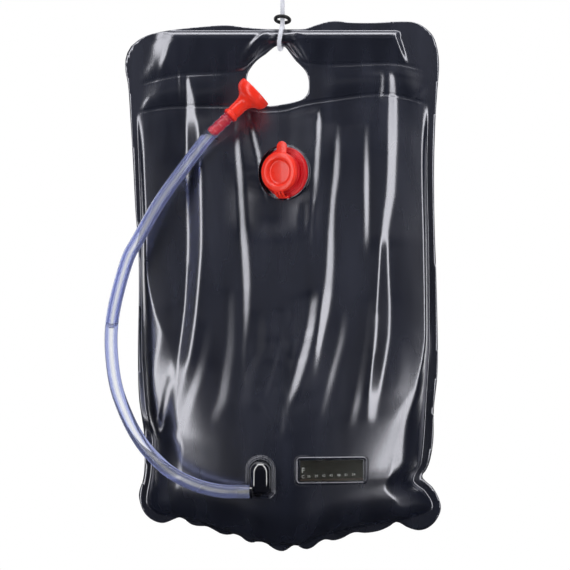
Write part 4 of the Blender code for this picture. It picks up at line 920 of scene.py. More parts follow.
# %% Plastic
def plastic(name, color, roughness, grain=(0.0008, 6e-6), patch=(0.02, 1.0), spread=0.12, rough_spread=0.05):
    """A moulded or welded plastic: its colour and gloss drift over patches, and a grain bends its surface."""
    material = bpy.data.materials.new(name)
    material.use_nodes = True
    tree = material.node_tree
    shader = tree.nodes["Principled BSDF"]
    places = add_node(tree, "ShaderNodeTexCoord").outputs["Object"]
    drift = add_node(tree, "ShaderNodeGroup", node_tree=PATCHES)
    tree.links.new(places, drift.inputs["Vector"])
    drift.inputs["Size"].default_value, drift.inputs["Stretch"].default_value = patch
    tint = add_node(tree, "ShaderNodeMix", data_type="RGBA")
    tree.links.new(drift.outputs["Fac"], tint.inputs[0])
    tint.inputs[6].default_value = (*[c * (1 - spread) for c in color], 1)
    tint.inputs[7].default_value = (*[min(c * (1 + spread), 1) for c in color], 1)
    tree.links.new(tint.outputs[2], shader.inputs["Base Color"])
    gloss = add_node(tree, "ShaderNodeMapRange", [
        ("Value", drift.outputs["Fac"]),
        ("To Min", roughness - rough_spread), ("To Max", roughness + rough_spread),
    ])
    tree.links.new(gloss.outputs["Result"], shader.inputs["Roughness"])
    bumps = add_node(tree, "ShaderNodeGroup", node_tree=GRAIN)
    tree.links.new(places, bumps.inputs["Vector"])
    bumps.inputs["Size"].default_value, bumps.inputs["Depth"].default_value = grain
    bend = add_node(tree, "ShaderNodeBump", [("Height", bumps.outputs["Height"]), ("Distance", 1.0)])
    tree.links.new(bend.outputs["Normal"], shader.inputs["Normal"])
    return material


# %% Finishing helpers
def constants(material, **values):
    """Plain numbers and colours on the shader's own sockets, with _ for a space in their names."""
    shader = material.node_tree.nodes["Principled BSDF"]
    for key, value in values.items():
        shader.inputs[key.replace("_", " ")].default_value = value
    return material


def shift_color(material, share, color):
    """Mix the material's own colour towards another one, by a socket that runs from 0 to 1."""
    tree = material.node_tree
    base = tree.nodes["Principled BSDF"].inputs["Base Color"]
    mixed = add_node(tree, "ShaderNodeMix", [(0, share), (6, base.links[0].from_socket)], data_type="RGBA")
    mixed.inputs[7].default_value = (*color, 1)
    tree.links.new(mixed.outputs[2], base)


def height_of(material):
    """The height on the object, in metres, as a socket."""
    places = material.node_tree.nodes["Texture Coordinate"].outputs["Object"]
    return add_node(material.node_tree, "ShaderNodeSeparateXYZ", [(0, places)]).outputs["Z"]


def dress(obj, material):
    """Give an object this one material."""
    obj.data.materials.clear()
    obj.data.materials.append(material)


# %% [markdown]
# ## The film's finish
# The film is soft black PVC with a faint blue cast. Its fine grain breaks a highlight into small sparkles,
# and long soft streaks run down it where it was stretched. It shines more than common plastic at a glance
# from the side, so its specular level is high and its roughness low.

# %% Film finish
FILM_BLACK = plastic("film_black", (0.005, 0.0075, 0.019), 0.27, grain=(0.0018, 6e-5), patch=(0.03, 6.0),
                     spread=0.3, rough_spread=0.035)
constants(FILM_BLACK, Specular_IOR_Level=1.0, IOR=1.9, Specular_Tint=(0.93, 0.93, 1.0, 1.0))
dress(bag_front, FILM_BLACK)
dress(bag_back, FILM_BLACK)
FITTING_BLACK = plastic("fitting_black", (0.004, 0.0045, 0.008), 0.1, grain=(0.0015, 4e-6), rough_spread=0.03)
constants(FITTING_BLACK, Specular_IOR_Level=0.8, IOR=1.9)
print("black finishes:", FILM_BLACK.name, FITTING_BLACK.name)

# %% [markdown]
# ## Turned pieces
# The filler, the shower head and the ring are round, so each is a profile turned about its own axis. The
# helper places the axis in the world and closes the ends at the axis, so that the mesh has no open edge.


# %% Turning helper
def turned(name, profile, origin, way, up, sides=72):
    """A turned solid from (radius, height) points in millimetres that run down its outer side."""
    z = Vector(way).normalized()
    x_way = Vector(up).cross(z).normalized()
    y_way = z.cross(x_way)
    verts, starts = [], []
    for radius, height in profile:
        starts.append(len(verts))
        around = sides if radius > 1e-6 else 1
        for k in range(around):
            a = 2 * math.pi * k / sides
            spot = radius * (math.cos(a) * x_way + math.sin(a) * y_way) + height * z
            verts.append((Vector(origin) + spot) * MM)
    faces = []
    for lower in range(1, len(profile)):
        upper = lower - 1
        for k in range(sides):
            m = (k + 1) % sides
            top = [starts[upper] + k, starts[upper] + m] if profile[upper][0] > 1e-6 else [starts[upper]]
            foot = [starts[lower] + m, starts[lower] + k] if profile[lower][0] > 1e-6 else [starts[lower]]
            if len(top) + len(foot) > 2:
                faces.append((top + foot)[::-1])
    obj = add_mesh(name, verts, faces)
    shade(obj)
    return obj


def shade(obj, angle=35):
    """Smooth shading, with edges sharper than the angle kept crisp."""
    obj.data.shade_smooth()
    obj.data.set_sharp_from_angle(angle=math.radians(angle))


# %% Rounding and joining helpers
def rounded(profile, radius, steps=4):
    """The same profile with each inner corner rounded by up to this radius."""
    points = [Vector(p) for p in profile]
    result = [points[0]]
    for before, corner, after in zip(points, points[1:], points[2:]):
        back, on = before - corner, after - corner
        cut = min(radius, 0.45 * back.length, 0.45 * on.length)
        start, end = corner + cut * back.normalized(), corner + cut * on.normalized()
        for k in range(steps + 1):
            t = k / steps
            result.append((1 - t) ** 2 * start + 2 * t * (1 - t) * corner + t**2 * end)
    return [tuple(p) for p in [*result, points[-1]]]


def joined(name, pieces):
    """Several closed meshes as one object, each still its own shell."""
    whole = bmesh.new()
    for piece in pieces:
        whole.from_mesh(piece.data)
    mesh = bpy.data.meshes.new(name)
    whole.to_mesh(mesh)
    whole.free()
    for piece in pieces:
        bpy.data.objects.remove(piece, do_unlink=True)
    obj = add_object(name, mesh)
    shade(obj)
    return obj


# %% Loft and slab helpers
def loft(name, rings):
    """A closed solid through rings of points, which all have the same count, in millimetres."""
    count = len(rings[0])
    faces = []
    for r in range(len(rings) - 1):
        for k in range(count):
            m = (k + 1) % count
            faces.append([r * count + k, r * count + m, (r + 1) * count + m, (r + 1) * count + k])
    faces.append(range(count))
    faces.append(range((len(rings) - 1) * count, len(rings) * count))
    obj = add_mesh(name, [p * MM for ring in rings for p in ring], faces)
    face_outwards(obj)
    shade(obj)
    return obj


def rounded_slab(name, outline_at, low, high, edge, place):
    """A slab between two heights with rounded rims: outline_at gives its outline at an inset."""
    turn = [k * math.pi / 8 for k in range(5)]
    levels = [(edge * (1 - math.sin(a)), low + edge * (1 - math.cos(a))) for a in turn]
    levels += [(edge * (1 - math.sin(a)), high - edge * (1 - math.cos(a))) for a in turn[::-1]]
    rings = [[place @ Vector((x, y, height)) for x, y in outline_at(inset)] for inset, height in levels]
    return loft(name, rings)


def box_outline(low, high, corner, steps=4):
    """Outline of a rectangle with round corners between two (x, y) corners, as a function of its inset."""
    def outline_at(inset):
        points = []
        for quarter in range(4):
            cx = high[0] - corner if quarter in (0, 3) else low[0] + corner
            cy = high[1] - corner if quarter in (0, 1) else low[1] + corner
            for k in range(steps + 1):
                a = math.pi / 2 * (quarter + k / steps)
                points.append((cx + (corner - inset) * math.cos(a), cy + (corner - inset) * math.sin(a)))
        return points

    return outline_at


def axes_at(origin, way, up):
    """The matrix of a turned piece's own axes, with its Y as near as can be to up, in millimetres."""
    z = Vector(way).normalized()
    x_way = Vector(up).cross(z).normalized()
    turn = Matrix((x_way, z.cross(x_way), z)).transposed().to_4x4()
    return Matrix.Translation(Vector(origin)) @ turn


# %% [markdown]
# ## The filler
# The filler is a soft red moulding: a flange welded to the film, a stepped skirt round the neck, and a plug
# cap on three thin bars that bend as its hinge. The shapes follow the CAD sizes, with the rounded edges and
# the shallow steps that a mould leaves. The cap is a piece of its own, because it swings open.

# %% Filler base
UP = Vector((0, 0, 1))
FILLER_AT = Vector((FILLER.x, FILLER.y, ROD_Z + FILLER.z))
FILLER_FRAME = axes_at(FILLER_AT, FILLER_AXIS, UP)
BORE, NECK, STEP, RIM = 15.5, 21.5, 24.5, 29.0
base_profile = rounded([
    (BORE, 8), (BORE, 9.4), (BORE + 0.6, 10), (NECK - 0.6, 10), (NECK, 9.4), (NECK, 6.2), (NECK + 0.5, 5.8),
    (NECK + 0.5, 4.1), (STEP, 4.1), (STEP, 1.8), (STEP + 1.6, 1.5), (STEP + 1.6, 0.5), (RIM - 1.2, 0.35),
    (RIM, -0.2), (RIM, -3.4), (RIM - 1.6, -3.4), (RIM - 1.6, -1.6), (BORE + 1.6, -1.6), (BORE + 1.6, -6),
    (BORE, -6), (BORE, 8),
], 0.5)
filler_body = turned("filler_body", base_profile, FILLER_AT, FILLER_AXIS, UP)
lug = rounded_slab("lug", box_outline((-6.6, -30.2), (6.6, -26.1), 1.2), -0.6, 3.0, 0.5, FILLER_FRAME)
bag_filler = joined("filler_moulding", [filler_body, lug])
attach(bag_filler, "bag")
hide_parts("filler_base")
print("filler:", len(bag_filler.data.polygons), "faces")

# %% Cap
UNDER, CROWN, CAP_RIM, PLUG = 10.3, 16.3, 23.0, 15.2
cap_profile = rounded([
    (0, CROWN - 3.9), (8, CROWN - 4.3), (12.6, CROWN - 4.9), (13.8, CROWN - 4.6), (15.2, CROWN - 0.7),
    (16.2, CROWN - 0.1), (18.5, CROWN), (21.4, CROWN - 0.4), (22.7, CROWN - 1.2), (CAP_RIM, CROWN - 2.6),
    (CAP_RIM, UNDER + 0.1), (PLUG, UNDER), (PLUG, UNDER - 0.8), (PLUG - 0.9, UNDER - 2.2),
    (PLUG - 0.9, UNDER - 13), (PLUG - 1.5, UNDER - 14), (PLUG - 2.5, UNDER - 14),
    (PLUG - 2.5, CROWN - 6.6), (0, CROWN - 6.0),
], 0.8)
cap_body = turned("cap_body", cap_profile, FILLER_AT, FILLER_AXIS, UP)
print("cap body:", len(cap_body.data.polygons), "faces")


# %% Pull tab and hinge helpers
def tab_outline(inset):
    """The pull tab's outline beyond the cap's rim, with a round tip."""
    half, root, reach = 6.6 - inset, 18.5, 28.6
    tip = [(2.6 + half * math.cos(a), reach + half * math.sin(a)) for a in np.linspace(0, math.pi, 17)]
    return [(2 + half, root), *tip, (2 - half, root)]


HINGE_BAR = [(-21.5, 14.0), (-23.6, 13.4), (-26, 11.8), (-27.8, 9.4), (-28.8, 7), (-28.5, 4.6)]
BAR_PLACES, BARREL_HALF, BARREL_RADIUS = (-4.4, 0, 4.4), 6.6, 1.3


def bar_rings(across):
    """One hinge bar as a soft-edged strip bent from the cap's rim down to the barrel."""
    wide, thick = 1.4, 0.6
    path = [Vector(p) for p in HINGE_BAR]
    section = [(-wide, -0.6 * thick), (-0.8 * wide, -thick), (0.8 * wide, -thick), (wide, -0.6 * thick),
               (wide, 0.6 * thick), (0.8 * wide, thick), (-0.8 * wide, thick), (-wide, 0.6 * thick)]
    rings = []
    for k, p in enumerate(path):
        along = (path[min(k + 1, len(path) - 1)] - path[max(k - 1, 0)]).normalized()
        out = Vector((-along.y, along.x))
        spots = [(across + u, p.x + v * out.x, p.y + v * out.y) for u, v in section]
        rings.append([FILLER_FRAME @ Vector(spot) for spot in spots])
    return rings


def bar_between(name, start, end, radius, around=20):
    """A plain round bar with slightly rounded ends."""
    start, end = Vector(start), Vector(end)
    way = (end - start).normalized()
    side = way.orthogonal().normalized()
    up = way.cross(side)
    rings = []
    for at, size in ((0, 0.75), (0.3, 1), (-0.3, 1), (0, 0.75)):
        middle = (start if len(rings) < 2 else end) + at * way
        angles = np.linspace(0, 2 * math.pi, around, endpoint=False)
        rings.append([middle + radius * size * (math.cos(a) * side + math.sin(a) * up) for a in angles])
    return loft(name, rings)


# %% Cap with its tab and hinge
tab = rounded_slab("tab", tab_outline, UNDER + 0.15, UNDER + 2.15, 0.7, FILLER_FRAME)
bars = [loft("bar", bar_rings(across)) for across in BAR_PLACES]
barrel_ends = [FILLER_FRAME @ Vector((across, *HINGE_BAR[-1])) for across in (-BARREL_HALF, BARREL_HALF)]
barrel = bar_between("barrel", *barrel_ends, BARREL_RADIUS)
filler_lid = joined("filler_lid", [cap_body, tab, *bars, barrel])
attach(filler_lid, "cap")
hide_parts("filler_cap")
print("cap with tab and hinge:", len(filler_lid.data.polygons), "faces")

# %% [markdown]
# ## Red plastic
# The mouldings are bright red polyethylene with a soft gloss, a thin shiny skin and faint flow patches. The
# filler's base gets a darker copy of that red as painted shade, and the valve stem is a darker, glossier
# crimson.

# %% Red finishes
MOULDED_RED = plastic("moulded_red", (0.90, 0.034, 0.016), 0.3, grain=(0.0022, 6e-6), spread=0.06)
constants(MOULDED_RED, Specular_IOR_Level=0.35, Coat_Weight=0.25, Coat_Roughness=0.08)
# A darker copy of the red for the filler's base: painted shade, not a red of its own
SHADED_RED = plastic("red_painted_shade", (0.62, 0.008, 0.014), 0.3, grain=(0.0022, 6e-6), spread=0.08)
constants(SHADED_RED, Specular_IOR_Level=0.3)
CRIMSON = plastic("crimson", (0.55, 0.004, 0.018), 0.2, grain=(0.002, 8e-6), spread=0.1)
dress(bag_filler, SHADED_RED)
dress(filler_lid, MOULDED_RED)
print("red finishes:", MOULDED_RED.name, SHADED_RED.name, CRIMSON.name)

# %% [markdown]
# ## The outlet
# A black glossy elbow comes through the front film inside a welded arch. It is domed, so each side light
# draws a tall streak down it, and a barbed stub leaves it to the left for the hose. The pad round it is
# film pressed into three arched ribs, which follow the film's own curve.

# %% Outlet elbow and stub
OUTLET_OUT = float(front_out(OUTLET_X, OUTLET_DEPTH))
OUTLET_FRAME = axes_at((OUTLET_X, -OUTLET_OUT, ROD_Z - OUTLET_DEPTH), (0, -1, 0), UP)
dome_levels = [
    (0, -5.0), (0, 8.5), (0.25, 10.5), (0.9, 12.8), (2.1, 15.0), (3.8, 16.8), (5.6, 17.7), (7.6, 18.0),
]
dome_rings = []
for inset, height in dome_levels:
    outline = arch(24 - 2 * inset, 36 - 2.4 * inset, 20)
    dome_rings.append([OUTLET_FRAME @ Vector((x, y, height)) for x, y in outline])
dome = loft("dome", dome_rings)
STUB_AT = Vector((OUTLET_X - 12.0, -OUTLET_OUT - 10.6, ROD_Z - 519.5))
stub_profile = rounded([
    (0, 14), (4.0, 14), (5.0, 11.2), (4.4, 10.4), (5.0, 7.4), (4.4, 6.6), (4.4, 0.4), (6.6, 0), (6.6, -3),
    (0, -3),
], 0.3)
stub = turned("stub", stub_profile, STUB_AT, (-1, 0, 0), UP, sides=40)
foot_ribs = []
for k in range(2):
    rib_ends = [OUTLET_FRAME @ Vector((x, y - 2.2 * k, 3)) for x, y in ((-8, -19.2), (1, -20))]
    foot_ribs.append(bar_between("rib", *rib_ends, 0.8))
outlet_moulding = joined("outlet_moulding", [dome, stub, *foot_ribs])
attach(outlet_moulding, "bag")
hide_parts("outlet_elbow")
dress(outlet_moulding, FITTING_BLACK)
print("outlet:", len(outlet_moulding.data.polygons), "faces")


# %% Beads that follow the film
def bead_on_film(name, outline, section, across, depth):
    """A closed bead along an outline on the front film, from (inset, lift) points round its section."""
    middle = []
    for k, p in enumerate(outline):
        start, end = Vector(p), Vector(outline[(k + 1) % len(outline)])
        pieces = max(1, math.ceil((end - start).length / 1.5))
        middle += [start.lerp(end, n / pieces) for n in range(pieces)]
    count = len(middle)
    rings = []
    for inset, lift in section:
        ring = []
        for k, p in enumerate(middle):
            along = (middle[(k + 2) % count] - middle[k - 2]).normalized()
            spot = p + inset * Vector((-along.y, along.x))
            x, down = across + spot.x, depth - spot.y
            ring.append((x, -float(front_out(x, down)) - lift, ROD_Z - down))
        rings.append(ring)
    faces = []
    for s in range(len(section)):
        t = (s + 1) % len(section)
        for k in range(count):
            m = (k + 1) % count
            faces.append([s * count + k, t * count + k, t * count + m, s * count + m])
    obj = add_mesh(name, [Vector(p) * MM for ring in rings for p in ring], faces)
    face_outwards(obj)
    shade(obj, 60)
    return obj


# %% Outlet pad
pad_section = rounded([
    (0, 0.2), (0.1, 0.9), (0.6, 1.3), (1.1, 0.9), (1.7, 0.8), (2.2, 1.5), (2.7, 1.6), (3.2, 0.9),
    (3.7, 0.9), (4.2, 2.1), (4.8, 2.3), (5.2, 1.6), (5.2, 0.2), (0, 0.2),
], 0.3, 2)[:-1]
pad = bead_on_film("outlet_weld", arch(35, 50, 24), pad_section, OUTLET_X, OUTLET_DEPTH + 1)
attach(pad, "bag")
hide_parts("outlet_pad")
dress(pad, FILM_BLACK)
print("outlet pad:", len(pad.data.polygons), "faces")

# %% [markdown]
# ## The temperature window
# A strip that shows the water's warmth lies under a clear film, and a welded frame holds both. The frame is
# knurled by its welding tool, so Geometry Nodes put one small press mark after another along its line.

# %% Window frame
WINDOW_X, WINDOW_DEPTH = 56.0, 497.0
FRAME_SIZE, FRAME_CORNER = Vector((83.0, 32.0)), 6.0
frame_outline = box_outline(-FRAME_SIZE / 2, FRAME_SIZE / 2, FRAME_CORNER, 8)(0)
frame_section = rounded([
    (0, 0.2), (0, 0.7), (0.8, 1.9), (1.6, 2.2), (2.5, 1.9), (3.2, 1.2), (3.2, 0.2), (0, 0.2),
], 0.5, 3)[:-1]
frame_bead = bead_on_film("frame_bead", frame_outline, frame_section, WINDOW_X, WINDOW_DEPTH)
print("window frame:", len(frame_bead.data.polygons), "faces")


# %% Press marks tree
def curve_tree(name, sizes):
    """A Geometry Nodes tree that takes a curve, named sizes in metres and a material, and gives a mesh."""
    inputs = [("Geometry", "Geometry", None)]
    inputs += [(label, "Float", value) for label, value in sizes]
    inputs.append(("Material", "Material", None))
    return new_group(name, inputs, [("Geometry", "Geometry")], "GeometryNodeTree")


def marks_tree():
    """Geometry Nodes that set small soft marks at an even step along a curve."""
    sizes = (("Step", 0.002), ("Long", 0.001), ("Wide", 0.001), ("Tall", 0.0005))
    tree, start, end = curve_tree("press_marks", sizes)
    give = start.outputs
    points = add_node(tree, "GeometryNodeCurveToPoints", [
        ("Curve", give["Geometry"]), ("Length", give["Step"]),
    ], mode="LENGTH")
    size = add_node(tree, "ShaderNodeCombineXYZ", [
        ("X", give["Wide"]), ("Y", give["Tall"]), ("Z", give["Long"]),
    ])
    ball = add_node(tree, "GeometryNodeMeshIcoSphere", [("Radius", 0.5), ("Subdivisions", 3)])
    marks = add_node(tree, "GeometryNodeInstanceOnPoints", [
        ("Points", points.outputs["Points"]), ("Instance", ball.outputs["Mesh"]),
        ("Rotation", points.outputs["Rotation"]), ("Scale", size.outputs[0]),
    ])
    real = add_node(tree, "GeometryNodeRealizeInstances", [("Geometry", marks.outputs["Instances"])])
    smooth = add_node(tree, "GeometryNodeSetShadeSmooth", [("Geometry", real.outputs["Geometry"])])
    finish = add_node(tree, "GeometryNodeSetMaterial", [
        ("Geometry", smooth.outputs["Geometry"]), ("Material", give["Material"]),
    ])
    tree.links.new(finish.outputs["Geometry"], end.inputs["Geometry"])
    return tree


# %% From a tree to a plain mesh
def path_object(name, points, cyclic=False):
    """A curve object through points in metres."""
    data = bpy.data.curves.new(name, "CURVE")
    data.dimensions = "3D"
    line = data.splines.new("POLY")
    line.points.add(len(points) - 1)
    for spot, p in zip(line.points, points):
        spot.co = (*p, 1.0)
    line.use_cyclic_u = cyclic
    return add_object(name, data)


def baked(source, tree, name, **values):
    """Run a Geometry Nodes tree on an object with named inputs and keep the result as a plain mesh."""
    step = source.modifiers.new(tree.name, "NODES")
    step.node_group = tree
    for item in tree.interface.items_tree:
        if item.in_out == "INPUT" and item.name in values:
            step[item.identifier] = values[item.name]
    mesh = finished_mesh(source)
    bpy.data.objects.remove(source, do_unlink=True)
    mesh.name = name
    return add_object(name, mesh)


# %% Press marks on the frame
marks_line = []
for px, pz in box_outline(-FRAME_SIZE / 2, FRAME_SIZE / 2, FRAME_CORNER, 8)(-0.9):
    x, down = WINDOW_X + px, WINDOW_DEPTH - pz
    marks_line.append(Vector((x, -float(front_out(x, down)) - 0.25, ROD_Z - down)) * MM)
marks = baked(path_object("marks_line", marks_line, True), marks_tree(), "frame_marks",
              Step=2.1 * MM, Long=1.3 * MM, Wide=1.0 * MM, Tall=0.9 * MM, Material=FILM_BLACK)
print("press marks:", len(marks.data.polygons), "faces")
window_frame = joined("window_weld", [frame_bead, marks])
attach(window_frame, "bag")
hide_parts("window_frame")
dress(window_frame, FILM_BLACK)


# %% Strip
def film_sheet(name, wide, tall, lift_at, thick, columns=60, rows=24):
    """A thin sheet that follows the front film at the window, with its stand-out from lift_at(u, v)."""
    verts, faces = [], []
    for side in (0, 1):
        for r in range(rows + 1):
            for c in range(columns + 1):
                u, v = c / columns, r / rows
                x, down = WINDOW_X + wide * (u - 0.5), WINDOW_DEPTH + tall * (v - 0.5)
                out = float(front_out(x, down)) + lift_at(u, v) + thick * (1 - side)
                verts.append(Vector((x, -out, ROD_Z - down)) * MM)
    row = columns + 1
    layer = row * (rows + 1)
    for r in range(rows):
        for c in range(columns):
            corner = r * row + c
            quad = [corner, corner + row, corner + row + 1, corner + 1]
            faces += [quad, [layer + k for k in quad[::-1]]]
    rim = [*range(row)] + [r * row + columns for r in range(1, rows + 1)]
    rim += [rows * row + c for c in range(columns - 1, -1, -1)] + [r * row for r in range(rows - 1, 0, -1)]
    for a, b in zip(rim, rim[1:] + rim[:1]):
        faces.append([a, b, layer + b, layer + a])
    obj = add_mesh(name, verts, faces)
    shade(obj, 50)
    return obj


STRIP_LIFT, STRIP_THICK = 0.4, 0.5
strip = film_sheet("warmth_strip", 71.2, 23.4, lambda u, v: STRIP_LIFT, STRIP_THICK, 30, 12)
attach(strip, "bag")
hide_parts("thermometer_strip")
print("strip:", len(strip.data.polygons), "faces")


# %% Numbers
def printed(text, x, depth, tall):
    """One printed mark as a thin raised mesh on the strip."""
    data = bpy.data.curves.new("mark", "FONT")
    data.body = text
    data.size = tall * 1.38
    data.extrude = 0.03
    data.align_x, data.align_y = "CENTER", "CENTER"
    source = add_object("mark", data)
    mesh = finished_mesh(source)
    bpy.data.objects.remove(source, do_unlink=True)
    for vert in mesh.vertices:
        at = x + vert.co.x
        out = float(front_out(at, depth - vert.co.y)) + STRIP_LIFT + STRIP_THICK + 0.02 + vert.co.z
        vert.co = Vector((at, -out, ROD_Z - depth + vert.co.y)) * MM
    return add_object("mark", mesh)


NUMBER_STEP = 8.5
FIRST_NUMBER, NUMBER_RISE = 36, 3
prints = [printed("F", 23.4, 496.6, 6.0), printed("C", 23.4, 503.6, 3.6)]
for k in range(7):
    prints.append(printed(str(FIRST_NUMBER + NUMBER_RISE * k), 29.8 + NUMBER_STEP * k, 503.2 - 0.25 * k, 2.9))
numbers = joined("strip_numbers", prints)
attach(numbers, "bag")
print("numbers:", len(numbers.data.polygons), "faces")

# %% Clear film
rng = np.random.default_rng(7)
RIPPLE_RANGES = ((3, 9), (1, 3.5), (0, 6.28), (0.05, 0.12))
ripples = [[rng.uniform(low, high) for low, high in RIPPLE_RANGES] for _ in range(7)]


def ripple(u, v):
    """Small wrinkles that die out at the welded rim."""
    held = math.sin(math.pi * u) ** 0.4 * math.sin(math.pi * v) ** 0.4
    return 1.35 + held * sum(h * math.sin(a * 6.28 * u * 0.7 + b * 6.28 * v + p) for a, b, p, h in ripples)


clear_sheet = film_sheet("clear_window", 73.0, 24.6, ripple, 0.25)
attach(clear_sheet, "bag")
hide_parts("window_film")
print("clear film:", len(clear_sheet.data.polygons), "faces")

# %% [markdown]
# ## Strip and clear film finishes
# The strip is a dull olive brown with a paler band under its numbers. The band is a part of its surface, so
# it is painted by height along the strip. The clear film is thin PVC that only shows by what it reflects.

# %% Strip and clear finishes
STRIP = plastic("strip_brown", (0.022, 0.020, 0.015), 0.4, patch=(0.006, 0.4), spread=0.45)
BAND_FOOT, BAND_MIDDLE = (ROD_Z - 508.6) * MM, (ROD_Z - 505.6) * MM
band = add_node(STRIP.node_tree, "ShaderNodeMapRange", [
    ("Value", height_of(STRIP)), ("From Min", BAND_FOOT), ("From Max", BAND_MIDDLE),
], interpolation_type="SMOOTHSTEP")
away = calc(STRIP.node_tree, "ABSOLUTE", calc(STRIP.node_tree, "SUBTRACT", band.outputs["Result"], 0.5))
inside = add_node(STRIP.node_tree, "ShaderNodeMapRange", [
    ("Value", away), ("From Min", 0.5), ("From Max", 0.2),
])
shift_color(STRIP, inside.outputs["Result"], (0.075, 0.048, 0.034))
dress(strip, STRIP)
PRINT_WHITE = plastic("print_white", (0.78, 0.78, 0.76), 0.5, spread=0.04)
dress(numbers, PRINT_WHITE)
CLEAR_FILM = plastic("clear_film", (0.93, 0.95, 0.95), 0.12, spread=0.02, rough_spread=0.04)
constants(CLEAR_FILM, Transmission_Weight=1.0, IOR=1.3)
dress(clear_sheet, CLEAR_FILM)
print("strip finishes:", STRIP.name, PRINT_WHITE.name, CLEAR_FILM.name)

# %% [markdown]
# ## The shower head
# A red bell holds a white spray plate, and slides along a crimson stem that shuts the water off. The bell
# is a turned moulding with a fat round rim. The stem goes on into the hose as a barb with three teeth,
# which shows through the clear wall. The plate has real holes in rings.

# %% Shower head
HEAD_AT = Vector((-30.3, -26.0, -210.0))
HEAD_WAY = Vector((0.727, 0.0, 0.687)).normalized()
TOWARD_VIEW = Vector((0, -1, 0))
bell_profile = rounded([
    (19.0, -0.4), (19.2, 0.2), (20.1, 0.25), (20.8, -0.7), (21.0, -3.8), (20.6, -7.2), (19.0, -10.4),
    (16.2, -12.9), (13.0, -14.7), (10.4, -17.0), (8.8, -20.2), (8.1, -24.5), (8.0, -35.4), (7.5, -35.8),
    (7.5, -36.5), (8.0, -36.9), (8.0, -37.8), (8.4, -38.4), (9.0, -39.0), (9.0, -41.0), (8.6, -41.5),
    (6.2, -41.5), (6.2, -16), (7.7, -12), (13.5, -6.4), (17, -4.2), (17, -2.2), (19, -2.2), (19.0, -0.4),
], 1.2)
bell = turned("shower_bell", bell_profile, HEAD_AT, HEAD_WAY, TOWARD_VIEW, sides=96)
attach(bell, "shower_head")
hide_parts("head_shell")
dress(bell, MOULDED_RED)
print("bell:", len(bell.data.polygons), "faces")

# %% Spray plate
plate_profile = [
    (0, 1.6), (4, 1.55), (9, 1.3), (13, 0.95), (16, 0.55), (18, 0.15), (18.7, -0.2), (18.7, -1.9),
    (0, -1.9),
]
plate = turned("plate", rounded(plate_profile, 0.4), HEAD_AT, HEAD_WAY, TOWARD_VIEW, sides=96)
HEAD_FRAME = axes_at(HEAD_AT, HEAD_WAY, TOWARD_VIEW)
HOLE_RADIUS = 0.55
HOLE_RINGS = ((1, 0), (6, 4.2), (12, 8.2), (18, 12.2), (24, 16.0))
pins = []
for count, spread in HOLE_RINGS:
    for k in range(count):
        a = 2 * math.pi * k / count
        ends = [HEAD_FRAME @ Vector((spread * math.cos(a), spread * math.sin(a), z)) for z in (-4, 4)]
        pins.append(bar_between("pin", *ends, HOLE_RADIUS, 8))
drill = joined("drill", pins)
cut = plate.modifiers.new("Holes", "BOOLEAN")
cut.operation, cut.object, cut.solver = "DIFFERENCE", drill, "EXACT"
drilled = finished_mesh(plate)
plate.modifiers.clear()
plate.data = drilled
bpy.data.objects.remove(drill, do_unlink=True)
shade(plate, 30)
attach(plate, "shower_head")
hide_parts("spray_plate")
dress(plate, plastic("spray_white", (0.78, 0.78, 0.8), 0.4, spread=0.04))
print("spray plate:", len(plate.data.polygons), "faces,", len(pins), "holes")

# %% Valve stem with its barb
NOSE, COLLAR, BARB_END = 17.5, 41.8, 71.2
teeth = []
for k in range(3):
    top = 43.2 + 28.0 * k / 3
    teeth += [(6.1, -top - 0.4), (6.1, -top - 3.2), (6.9, -top - 4.4), (6.9, -top - 5.4), (6.0, -top - 9.0)]
stem_profile = [(0, -NOSE), (4.4, -NOSE), (5.9, -NOSE - 1.2)]
for at in (NOSE + 4.5, 32.5):
    stem_profile += [(5.9, -at + 1), (4.9, -at + 0.9), (4.9, -at - 0.9), (5.9, -at - 1)]
stem_profile += [(5.9, -COLLAR)]
stem_profile += [(r, -COLLAR - z) for r, z in ((8.0, 0), (8.3, 0.3), (8.3, 1.1), (8.0, 1.4))]
stem_profile += [*teeth, (4.4, -BARB_END), (3.2, -BARB_END), (3.2, -NOSE - 3), (0, -NOSE - 2.4)]
stem = turned("valve_barb", rounded(stem_profile, 0.35, 3), HEAD_AT, HEAD_WAY, TOWARD_VIEW, sides=64)
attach(stem, "bag")
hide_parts("valve_stem")
dress(stem, CRIMSON)
print("stem:", len(stem.data.polygons), "faces")

# %% [markdown]
# ## Braided rope
# The rope is a hollow braid of eight flat strands, four each way, that pass over and under each other.
# Geometry Nodes copy the rope's middle line eight times, wind the copies round it, and push each one out
# and in once per crossing. A plain core fills the middle. The knot and the eye use the same tree on lines
# of their own.


# %% Braid tree
BRAID_SIZES = (
    ("Radius", 0.0019), ("Weave", 0.0003), ("Pitch", 0.012),
    ("Wide", 0.001), ("Thin", 0.0005), ("Core", 0.0016),
)


